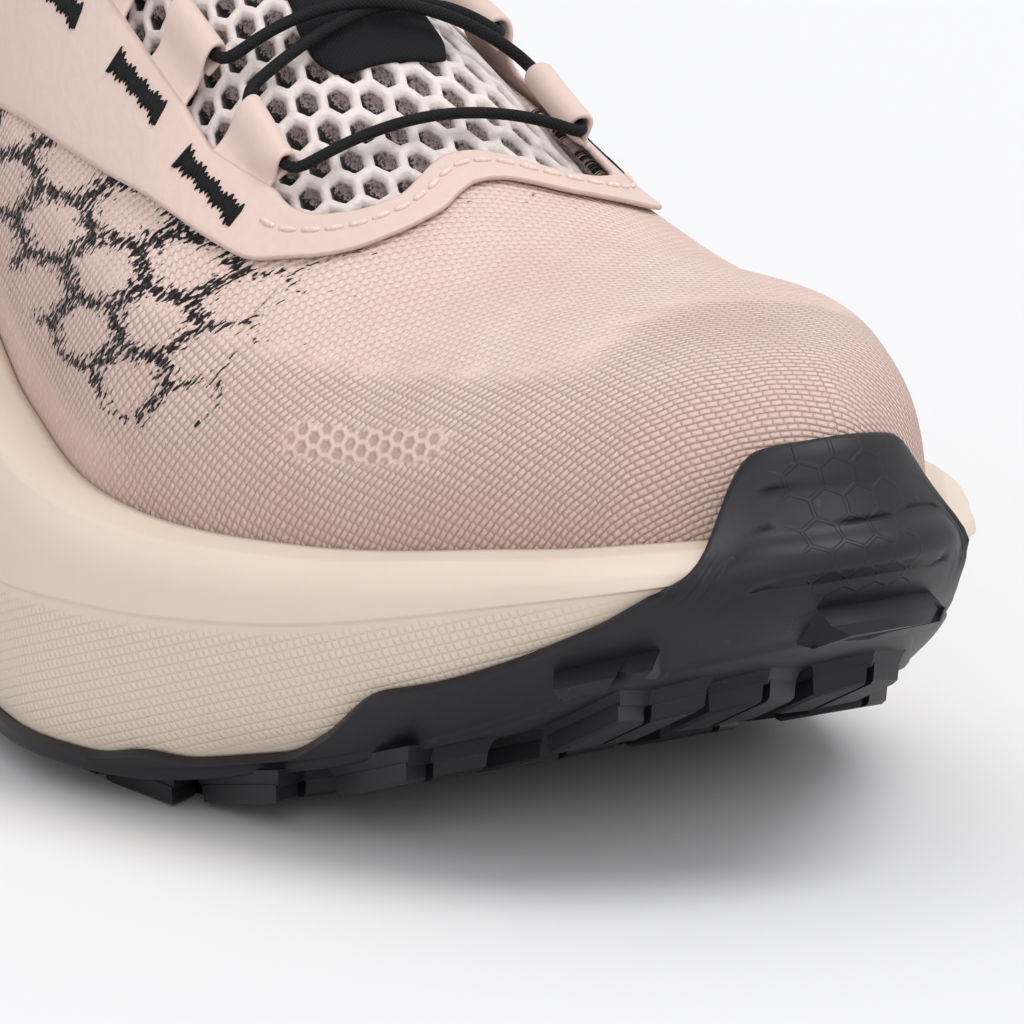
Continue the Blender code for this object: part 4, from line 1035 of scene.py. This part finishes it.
def knitMaterial(make):
    material, tree, shader = newMaterial("pinkKnit", {
        "Roughness": 0.85, "Sheen Weight": 0.12, "Sheen Roughness": 0.45, "Specular IOR Level": 0.22})
    u, v, place = mapped(tree, "flat")
    hexU, hexV, _ = mapped(tree, "hexPlace")
    labels = ("hexBand", "toe", "plain", "height", "net", "emboss")
    band, toe, plain, low, dotted, embossed = (weight(tree, label) for label in labels)
    sway = times(minus(noise(place, 0.16, 1.0), 0.5), 0.9)
    long, short = turned(plus(u, sway), v, make["stitchTurn"])
    ribs = bricks(long, short, 1.45, 0.80, 0.29, 2.2, 0.85)
    dots = bricks(long, short, 1.25, 0.95, 0.5, 0.9, corners=True)
    fleck = stretched(long, short, 0.60, 2.3)
    soft = noise(place, 0.06, 2.0)
    stitch = plus(times(dots, dotted), times(ribs, minus(1.0, dotted)))
    small = hexagons(*[calc("DIVIDE", value, make["embossPitch"]) for value in (u, v)])
    stitch = timesPlus(minus(ramp(small, 0.22, 0.44), stitch), embossed, stitch)
    # painted shade in the gaps between the stitches, its strength set by contrast
    gaps = times(ramp(stitch, 0.52, 0.05), ramp(fleck, 0.30, 0.58, 0.55, 1.0))
    contrast = times(timesPlus(toe, 0.10, 0.60), minus(1.0, times(plain, 0.8)))
    base = tint(ramp(soft, 0.3, 0.7), make["light"], make["pale"])
    # painted shade: darker toward the feather line, where the sides turn away from the light above
    base = tint(ramp(low, 26.0, 2.0, 0.0, 0.55), base, make["low"])
    # painted sheen: lighter flecks where the fleck noise is high
    base = tint(times(ramp(fleck, 0.52, 0.72), 0.35), base, make["fleckSheen"])
    colour = tint(times(gaps, contrast), base, make["gapShade"])
    cell = hexagons(hexU, hexV)
    ragged = timesPlus(minus(fleck, 0.5), 0.85, cell)
    ragged = timesPlus(minus(band, 1.0), 0.30, ragged)
    line = ramp(ragged, 0.375, 0.43)
    colour = tint(times(line, ramp(band, 0.0, 0.12)), colour, make["black"])
    height = times(stitch, timesPlus(plain, -0.75, 1.0))
    height = timesPlus(fleck, 0.35, height)
    paint(shader, colour, None, height, 0.00045, 0.8)
    return material


def liningMaterial(make):
    material, tree, shader = newMaterial("liningCloth", {"Roughness": 0.92, "Sheen Weight": 0.2})
    x, _, z = splitPlace(tree)
    weave = bricks(x, z, 1.1, 0.8, 0.5)
    colour = tint(ramp(weave, 0.05, 0.7), make["liningShade"], make["lining"])
    paint(shader, colour, None, weave, 0.0002, 0.6)
    return material


makeUpper(upperMake, knitMaterial(upperMake), liningMaterial(upperMake))
print("upper made")

# Eyestay band with its folded tabs
eyestayMake = {
    "thickness": 0.0008,
    "lift": 0.0009,
    "rows": 9,
    "step": 0.0022,
    "notch": 0.0277,
    "tabFront": 0.6665,
    "tabPitch": 0.061,
    "tabLength": 0.033,
    "tabCount": 5,
    "top": 0.352,
    "reach": 0.0214,
    "tunnelLift": 0.0026,
    "rollRadius": 0.0017,
    "colour": (0.665, 0.508, 0.450),
    # edge: painted shade along both edges of the band
    "edge": (0.42, 0.29, 0.25),
    "sheen": (0.75, 0.60, 0.54),
    "frontEase": 0.0035,
    "tabRoot": 0.0003,
}
eyestayFrontRows = [
    (0.6760, 0.0232, 0.6820, 0.0321), (0.6830, 0.0228, 0.6895, 0.0310), (0.6920, 0.0215, 0.7030, 0.0278),
    (0.7000, 0.0190, 0.7160, 0.0245), (0.7065, 0.0154, 0.7255, 0.0200), (0.7078, 0.0120, 0.7285, 0.0145),
    (0.7024, 0.0081, 0.7260, 0.0092), (0.6952, 0.0045, 0.7185, 0.0050), (0.6922, 0.0020, 0.7140, 0.0022),
    (0.6917, 0.0000, 0.7130, 0.0000)]
eyestaySideRows = [(0.350, 0.0590), (0.475, 0.0515), (0.575, 0.0429), (0.682, 0.0321)]
eyestaySide = smoothCurve(eyestaySideRows)
tabRiseRows = [
    (0.0268, 0.00095), (0.0259, 0.0010), (0.0250, 0.0013), (0.0241, 0.0019), (0.0233, 0.0029), (0.0225, 0.0038)]


def tabSpan(index):
    front = eyestayMake["tabFront"] - index * eyestayMake["tabPitch"]
    return front, front - eyestayMake["tabLength"]


def eyestayStations(make):  # inner edge, outer edge and tab number or -1, from the top to the middle
    marks = sorted({round(place, 6) for index in range(make["tabCount"]) for place in tabSpan(index)}
                   | {make["top"], make["tabFront"] + make["frontEase"]})
    alongs = []
    for start, end in zip(marks[:-1], marks[1:]):
        count = max(int(round((end - start) / make["step"])), 2)
        alongs += list(np.linspace(start, end, count, endpoint=False))
    alongs.append(marks[-1])
    stations = []
    spans = [tabSpan(index) for index in range(make["tabCount"])]
    for a in alongs:
        tab = next((k for k, (front, back) in enumerate(spans) if back - 1e-6 <= a <= front + 1e-6), -1)
        foot = np.interp(a, (spans[0][1], spans[0][0] + make["frontEase"]),
                         (make["notch"], eyestayFrontRows[0][1]))
        stations.append(((a, foot), (a, float(eyestaySide(a))), tab))
    front = np.array([(*stations[-1][0], *stations[-1][1]), *eyestayFrontRows])
    gaps = np.linalg.norm(np.diff(front[:, :2] * [shoeLength, 1.0], axis=0), axis=1)
    run = np.concatenate([[0.0], np.cumsum(np.maximum(gaps, 1e-4))])
    curve = smoothCurve(np.column_stack([run, front]))
    for place in np.linspace(0.0, run[-1], 46)[1:]:
        a, w, b, far = curve(place)
        stations.append(((a, w), (b, far), -1))
    return stations


def tabProfile(make):  # (distance from the ridge, height) from the band over the roll and back beneath
    path = list(tabRiseRows)
    for degrees in range(95, 271, 16):
        turn = math.radians(degrees)
        path.append((make["reach"] + make["rollRadius"] * math.cos(turn),
                     make["tunnelLift"] + make["rollRadius"] * math.sin(turn)))
    return path + [(0.0224, 0.0009), (0.0233, 0.00092)]


def makeEyestay(make):
    material, tree, shader = newMaterial("pinkFilm", {
        "Roughness": 0.58, "Sheen Weight": 0.08, "Specular IOR Level": 0.35, "Coat Weight": 0.03})
    ripple = noise(attribute(tree, "flat")["Vector"], 0.55, 3.0)
    fine = noise(objectPlace(tree), 1600.0, 2.0)
    # painted shade: the band darkens toward both its edges
    edge = ramp(weight(tree, "edge"), 0.90, 1.0, 0.0, 0.6)
    colour = tint(edge, make["colour"], make["edge"])
    colour = tint(ramp(ripple, 0.35, 0.75, 0.0, 0.2), colour, make["sheen"])
    height = plus(ripple, times(fine, 0.2))
    paint(shader, colour, ramp(ripple, 0.3, 0.7, 0.52, 0.64), height, 0.00025, 0.5)
    half = eyestayStations(make)
    path = [(-1, *station) for station in half] + [(1, *station) for station in half[-2::-1]]
    shares = np.linspace(0.0, 1.0, make["rows"])
    spots, faces, marks = [], [], []
    for side, near, far, tab in path:
        for share in shares:
            along, across = (near[k] + (far[k] - near[k]) * share for k in (0, 1))
            spots.append((along, side * across, make["lift"]))
            # edge mask for the painted shade: 1 at both edges of the band
            marks.append(abs(2 * share - 1))
    count = len(path)
    faces += gridFaces(count, make["rows"], closed=False)
    profile = tabProfile(make)
    rows = {}
    for n, (side, near, far, tab) in enumerate(path):
        if tab >= 0:
            rows[n] = [n * make["rows"]]
            for i, (across, lift) in enumerate(profile):
                rows[n].append(len(spots))
                root = near[1] - make["tabRoot"] * (i + 1) if i < len(tabRiseRows) else across
                spots.append((near[0], side * min(across, root), lift))
                marks.append(0.0)
    for n in rows:
        if n + 1 in rows and path[n + 1][3] == path[n][3] and path[n + 1][0] == path[n][0]:
            for i in range(len(rows[n]) - 1):
                faces.append((rows[n][i], rows[n + 1][i], rows[n + 1][i + 1], rows[n][i + 1]))
    spots = np.array(spots)
    points = skin(spots[:, 0], spots[:, 1], spots[:, 2])
    flat = np.column_stack([spots[:, 0] * shoeLength * 1000, spots[:, 1] * 1000, np.zeros(len(spots))])
    piece = newMesh("eyestayBand", points, faces, material,
                    attributes={"flat": flat, "edge": np.array(marks)})
    thick = piece.modifiers.new("thick", "SOLIDIFY")
    thick.thickness, thick.offset = make["thickness"], 0.0
    soft = piece.modifiers.new("soft", "SUBSURF")
    soft.levels = soft.render_levels = 1
    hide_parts("eyestay")
    return path


eyestayPath = makeEyestay(eyestayMake)
print("eyestay made")

# Tongue of thick spacer mesh, with a plain strip
tongueMake = {
    "halfWidth": 0.033,
    "thickness": 0.0035,
    "clearance": 0.0007,
    "crown": 0.0020,
    "dip": 0.0022,
    "columns": 221,
    "rows": (120, 241),
    "coarse": 4,
    "cell": 0.0044,
    "cellDepth": 0.0023,
    "cellTurn": 8.0,
    "strut": (0.70, 0.61, 0.58),
    # threadGlint: painted glint on random threads
    "threadGlint": (0.80, 0.72, 0.69),
    # wall and wallShade: colour of the pits, partly the underlayer's own and partly painted shade
    "wall": (0.38, 0.305, 0.295),
    "wallShade": (0.12, 0.085, 0.085),
    "shadow": (0.010, 0.008, 0.009),
    "stripThickness": 0.0007,
    "stripColour": (0.009, 0.009, 0.011),
    "stripShade": (0.004, 0.004, 0.005),
}
tongueRows = [
    (0.290, 0.80, 1.50, 0.0), (0.300, 0.93, 2.10, 0.0), (0.330, 1.00, 2.20, 0.0), (0.370, 1.00, 1.80, 0.0),
    (0.420, 1.00, 1.20, 0.0), (0.480, 1.00, 1.00, 0.0), (0.640, 1.00, 1.00, 0.0), (0.680, 1.00, 1.00, 0.3),
    (0.712, 0.95, 0.80, 1.0)]
stripRows = [
    (0.300, 0.0079), (0.400, 0.0079), (0.500, 0.0079), (0.580, 0.0079), (0.602, 0.0084), (0.614, 0.0095),
    (0.626, 0.0097), (0.640, 0.0078)]


def tongueLift(make, share):
    crown = 1 - np.minimum(np.abs(share), 1.0) ** 3
    return make["crown"] * crown - upperMake["wall"] - make["clearance"]


def hexCells(u, v):  # 0 at a cell's middle and 0.5 at its edge, then the place inside the cell
    tall = math.sqrt(3.0)
    ax, ay = u % 1.0 - 0.5, v % tall - tall / 2
    bx, by = (u + 0.5) % 1.0 - 0.5, (v + tall / 2) % tall - tall / 2
    nearer = ax * ax + ay * ay < bx * bx + by * by
    x, y = np.where(nearer, ax, bx), np.where(nearer, ay, by)
    return np.maximum(np.abs(x), np.abs(x) * 0.5 + np.abs(y) * tall / 2), x, y


def rimOf(rows, columns):
    loop = list(range(columns)) + [r * columns + columns - 1 for r in range(1, rows)]
    loop += [(rows - 1) * columns + c for c in range(columns - 2, -1, -1)]
    return loop + [r * columns for r in range(rows - 2, 0, -1)]


def makeTongue(make):
    material, tree, shader = newMaterial("spacerMesh", {
        "Roughness": 0.88, "Sheen Weight": 0.3, "Sheen Roughness": 0.5, "Specular IOR Level": 0.2})
    fuzz = noise(objectPlace(tree), 2600.0, 3.0)
    threadGlint = noise(objectPlace(tree), 700.0, 2.0)
    # painted glint: random threads made lighter
    colour = tint(ramp(threadGlint, 0.3, 0.75), make["strut"], make["threadGlint"])
    # the pits darken with depth, partly the underlayer's own colour and partly painted shade, with a painted
    # shadow on one side of each pit
    wall = tint(ramp(fuzz, 0.42, 0.66), make["wall"], make["wallShade"])
    far = timesPlus(fuzz, 0.5, weight(tree, "lean"))
    wall = tint(ramp(far, 0.56, 0.68), wall, make["shadow"])
    colour = tint(ramp(weight(tree, "depth"), 0.20, 0.46), colour, wall)
    paint(shader, colour, None, plus(fuzz, threadGlint), 0.00018, 0.6)
    alongs = np.concatenate([np.linspace(0.290, 0.478, make["rows"][0], endpoint=False),
                             np.linspace(0.478, 0.712, make["rows"][1])])
    shares = np.linspace(-1.0, 1.0, make["columns"])
    table = smoothCurve(tongueRows)(alongs)
    along, share = np.meshgrid(alongs, shares, indexing="ij")
    across = share * table[:, None, 0] * make["halfWidth"]
    top = tongueLift(make, share) - table[:, None, 2] * make["dip"]
    under = top - make["thickness"] * table[:, None, 1] * (1 - np.abs(share) ** 4 * 0.5)
    turn = math.radians(make["cellTurn"])
    c, s = math.cos(turn), math.sin(turn)
    u, v = along * shoeLength / make["cell"], across / make["cell"]
    cell, ahead, aside = hexCells(u * c + v * s, v * c - u * s)
    deep = 1 - fade(cell, 0.20, 0.41)
    # lean: which side of each cell gets the painted shadow
    lean = 0.5 + 0.45 * ahead - 0.95 * aside
    deep *= fade(1 - np.abs(share), 0.0, 0.06) * fade(along, 0.292, 0.300) * fade(-along, -0.711, -0.706)
    upperSkin = skin(along, across, top - deep * make["cellDepth"])
    rows, columns = along.shape
    step = make["coarse"]
    lowerSkin = skin(along[::step, ::step], across[::step, ::step], under[::step, ::step])
    points = np.concatenate([upperSkin.reshape(-1, 3), lowerSkin.reshape(-1, 3)])
    total = rows * columns
    wide = lowerSkin.shape[1]
    faces = gridFaces(rows, columns, closed=False)
    faces += [face[::-1] for face in gridFaces(len(lowerSkin), wide, total, closed=False)]
    rimLoop = rimOf(rows, columns)
    for i in range(0, len(rimLoop), step):
        ends = [rimLoop[i], rimLoop[(i + step) % len(rimLoop)]]
        low = [total + (k // columns) // step * wide + (k % columns) // step for k in ends]
        faces.append((*rimLoop[i:i + step], ends[1], low[1], low[0]))
    rest = np.zeros(len(points) - total)
    piece = newMesh("tongueMesh", points, faces, material, attributes={
        "depth": np.concatenate([deep.ravel(), rest]), "lean": np.concatenate([lean.ravel(), rest])})
    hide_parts("tongue")


def makeStrip(make):
    material, tree, shader = newMaterial("blackStrip", {
        "Roughness": 0.82, "Specular IOR Level": 0.22})
    x, y, _ = splitPlace(tree)
    weave = bricks(x, y, 0.5, 0.42, 0.5)
    colour = tint(ramp(weave, 0.1, 0.8), make["stripShade"], make["stripColour"])
    paint(shader, colour, None, weave, 0.0001, 0.5)
    half = smoothCurve(stripRows)
    alongs = np.linspace(0.300, 0.640, 150)
    shares = np.concatenate([[-1.0, -0.97], np.linspace(-0.9, 0.9, 13), [0.97, 1.0]])
    along, share = np.meshgrid(alongs, shares, indexing="ij")
    curl = np.sqrt(np.clip((0.6402 - along) / 0.010, 0.0, 1.0))
    across = share * half(along) * np.minimum(curl + 0.62, 1.0)
    low = tongueLift(make, across / make["halfWidth"]) + form["gap"] - 0.0002
    high = low + make["stripThickness"] * np.interp(np.abs(share), (0.9, 0.97, 1.0), (1.0, 0.8, 0.35))
    rows, columns = along.shape
    points = np.concatenate([skin(along, across, level).reshape(-1, 3) for level in (high, low)])
    faces = gridFaces(rows, columns, closed=False)
    faces += [face[::-1] for face in gridFaces(rows, columns, rows * columns, closed=False)]
    rimLoop = rimOf(rows, columns)
    total = rows * columns
    for i, j in zip(rimLoop, rimLoop[1:] + rimLoop[:1]):
        faces.append((i, j, total + j, total + i))
    piece = newMesh("tongueStrip", points, faces, material)
    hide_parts("tongue_strip")


makeTongue(tongueMake)
makeStrip(tongueMake)
print("tongue made")

# One lace, from a top tab down the tabs, over the front bar and up the other side
laceMake = {
    "radius": 0.00082,
    "flat": 0.86,
    "sides": 14,
    "lead": 0.0016,
    "dip": 0.0009,
    "overlap": 0.4,
    "ease": 0.6,
    "cadRadius": 0.00075,
    "colour": (0.012, 0.012, 0.014),
    "shade": (0.003, 0.003, 0.004),
    "strands": 8.0,
    "strandPitch": 1.4,
}


def laceRun(make, start, end, dip, count=40):
    share = np.linspace(0.0, 1.0, count)
    way = make["ease"] * fade(share, 0.0, 1.0) + (1 - make["ease"]) * share
    lift = eyestayMake["tunnelLift"] - dip * np.sin(np.pi * share)
    along, across = (start[k] + (end[k] - start[k]) * part for k, part in ((0, way), (1, share)))
    return np.column_stack([along, across, lift])


def lacePath(make):
    mouth, reach = make["lead"] / shoeLength, eyestayMake["reach"]
    overDip = make["dip"] - (2 - make["overlap"]) * make["cadRadius"]

    def tunnel(index, side, upward):
        front, back = tabSpan(index)
        places = np.linspace(front + mouth, back - mouth, 10)
        places = places if upward else places[::-1]
        level = np.full(len(places), eyestayMake["tunnelLift"])
        return np.column_stack([places, np.full(len(places), side * reach), level])

    def cross(index, side, upward):  # between tab index and the next one up, leaving from this side
        low, high = tabSpan(index)[1] - mouth, tabSpan(index + 1)[0] + mouth
        start, end = (low, side * reach), (high, -side * reach)
        if not upward:
            start, end = (high, side * reach), (low, -side * reach)
        over = (side > 0) == upward
        return laceRun(make, start, end, overDip if over else make["dip"])

    side, count = -1, eyestayMake["tabCount"]
    parts = [tunnel(count - 1, side, False)[3:]]
    for index in range(count - 2, -1, -1):
        parts.append(cross(index, side, False))
        side = -side
        parts.append(tunnel(index, side, False))
    front = tabSpan(0)[0] + mouth
    parts.append(laceRun(make, (front, side * reach), (front, -side * reach), make["dip"]))
    side = -side
    for index in range(count - 1):
        parts.append(tunnel(index, side, True))
        parts.append(cross(index, side, True))
        side = -side
    parts.append(tunnel(count - 1, side, True)[:-3])
    path = np.concatenate(parts)
    points = skin(path[:, 0], path[:, 1], path[:, 2])
    keep = np.concatenate([[True], np.linalg.norm(np.diff(points, axis=0), axis=1) > 1e-5])
    points = points[keep]
    for _ in range(6):
        points[1:-1] = (points[:-2] + 2 * points[1:-1] + points[2:]) / 4
    return points


def cordMaterial(make):
    material, tree, shader = newMaterial("blackCord", {
        "Roughness": 0.72, "Specular IOR Level": 0.24})
    run, turn, _ = mapped(tree, "mark")
    forward = times(run, make["strandPitch"])
    slants = [timesPlus(turn, count, forward) for count in (make["strands"], -make["strands"])]
    weave = times(*[calc("PINGPONG", slant, 0.5) for slant in slants])
    colour = tint(ramp(weave, 0.0, 0.2), make["shade"], make["colour"])
    paint(shader, colour, None, weave, 0.0004, 0.5)
    return material


cord = cordMaterial(laceMake)
laceRings, laceMarks = sweep(lacePath(laceMake), laceMake["radius"], laceMake["sides"], laceMake["flat"])
lace = newMesh("lace", laceRings.reshape(-1, 3), prismFaces(*laceRings.shape[:2]), cord,
               attributes={"mark": laceMarks})
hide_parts("lace_bar", "lace_cross_1", "lace_cross_2", "lace_cross_3", "lace_cross_4")
print("lace made")

# Bar tacks on the tabs and the stitches round the throat
tackMake = {
    "spots": [(0.5539, -0.0322, 0.5975, -0.0310), (0.6224, -0.0318, 0.6667, -0.0294)],
    "width": 0.0020,
    "turns": 17,
    "radius": 0.00042,
    "lift": 0.0014,
    "stride": 1.3,
    "spread": 0.07,
    "bury": 0.0002,
}
stitchMake = {
    "length": 0.0023,
    "gap": 0.0007,
    "radius": 0.00036,
    "lift": 0.00142,
    "from": 0.6735,
    "share": 0.42,
    "rings": 7,
    "colour": (0.80, 0.645, 0.585),
    "shade": (0.70, 0.53, 0.475),
}


def makeTacks(make):
    points, faces, marks = [], [], []
    spots = [(a, w, b, far, side) for a, w, b, far in make["spots"] for side in (1, -1)]
    a, w, b, far = make["spots"][0]
    for index in range(1, 3):
        back, wider = index * make["stride"] * eyestayMake["tabPitch"], 1 + make["spread"] * index
        spots += [(a - back, w * wider, b - back, far * wider, side) for side in (1, -1)]
    for index, (a, w, b, far, side) in enumerate(spots):
        steps = make["turns"] * 2 + 1
        share = np.linspace(0.0, 1.0, steps)
        swing = np.where(np.arange(steps) % 2 == 0, -0.5, 0.5) * make["width"]
        rough = 0.30 * np.sin(np.arange(steps) * 2.4 + index * 3.0)
        wide = 1 + 0.75 * np.abs(2 * share - 1) ** 4 + rough
        along = a + (b - a) * share
        across = side * (w + (far - w) * share + swing * wide)
        zigzag = skin(along, across, np.full(steps, make["lift"] - make["bury"]))
        fine = np.linspace(0.0, steps - 1, (steps - 1) * 4 + 1)
        path = np.column_stack([np.interp(fine, np.arange(steps), zigzag[:, k]) for k in range(3)])
        rings, mark = sweep(path, make["radius"], 6)
        faces += prismFaces(*rings.shape[:2], len(points))
        points += rings.reshape(-1, 3).tolist()
        marks.append(mark)
    marks = {"mark": np.concatenate(marks)}
    newMesh("barTacks", points, faces, cord, weld=0, attributes=marks)


def makeStitches(make):
    material, tree, shader = newMaterial("stitchThread", {"Roughness": 0.7, "Sheen Weight": 0.2})
    wisp = noise(objectPlace(tree), 2400.0)
    colour = tint(ramp(wisp, 0.3, 0.7), make["colour"], make["shade"])
    paint(shader, colour, None, wisp, 0.0001, 0.4)
    spots = []
    for side, near, far, _ in eyestayPath:
        if near[0] >= make["from"]:
            along, across = (near[k] + (far[k] - near[k]) * make["share"] for k in (0, 1))
            spots.append((along, side * across))
    spots = np.array(spots)
    line = skin(spots[:, 0], spots[:, 1], np.full(len(spots), make["lift"]))
    run = runAlong(line)
    taper = np.clip(1 - np.linspace(-0.93, 0.93, make["rings"]) ** 2, 0, 1) ** 0.35
    points, faces = [], []
    for start in np.arange(0.0, run[-1] - make["length"], make["length"] + make["gap"]):
        places = start + np.linspace(0.0, 1.0, make["rings"]) * make["length"]
        path = np.column_stack([np.interp(places, run, line[:, k]) for k in range(3)])
        rings, _ = sweep(path, 1.0, 8)
        middle = rings.mean(1, keepdims=True)
        rings = middle + (rings - middle) * make["radius"] * taper[:, None, None]
        faces += prismFaces(*rings.shape[:2], len(points))
        points += rings.reshape(-1, 3).tolist()
    newMesh("throatStitches", points, faces, material, weld=0)


makeTacks(tackMake)
makeStitches(stitchMake)
print("stitches made")

# Floor and light
studio = {
    "floorSize": 24.0,
    "floor": (0.762, 0.762, 0.772),
    "world": (0.985, 0.99, 1.0),
    "worldStrength": 0.80,
    "sunStrength": 1.40,
    "sunSpread": 30.0,
    "sunPlace": (0.52, 0.34, 1.30),
    "fillStrength": 0.55,
    "fillPlace": (0.84, -0.55, 0.48),
}


def makeStudio(make):
    material, tree, shader = newMaterial("paleFloor", {"Roughness": 0.9, "Specular IOR Level": 0.1})
    grain = noise(objectPlace(tree), 3.0)
    paint(shader, tint(grain, make["floor"], tuple(0.995 * c for c in make["floor"])))
    mesh = bpy.data.meshes.new("floor")
    corners = [(x * make["floorSize"] / 2, y * make["floorSize"] / 2, 0)
               for x, y in ((-1, -1), (1, -1), (1, 1), (-1, 1))]
    mesh.from_pydata(corners, [], [(0, 1, 2, 3)])
    mesh.materials.append(material)
    floor = addObject("floor", mesh)
    world = bpy.data.worlds.new("studioWorld")
    world.use_nodes = True
    back = world.node_tree.nodes["Background"]
    back.inputs[0].default_value = (*make["world"], 1.0)
    back.inputs[1].default_value = make["worldStrength"]
    bpy.context.scene.world = world
    for name, strength, place in (("softSun", make["sunStrength"], make["sunPlace"]),
                                  ("softFill", make["fillStrength"], make["fillPlace"])):
        lamp = bpy.data.lights.new(name, "SUN")
        lamp.energy, lamp.angle = strength, math.radians(make["sunSpread"])
        addObject(name, lamp).rotation_euler = Vector(place).to_track_quat("Z", "Y").to_euler()
    bpy.context.scene.view_settings.view_transform = "Standard"


makeStudio(studio)
print("studio made")
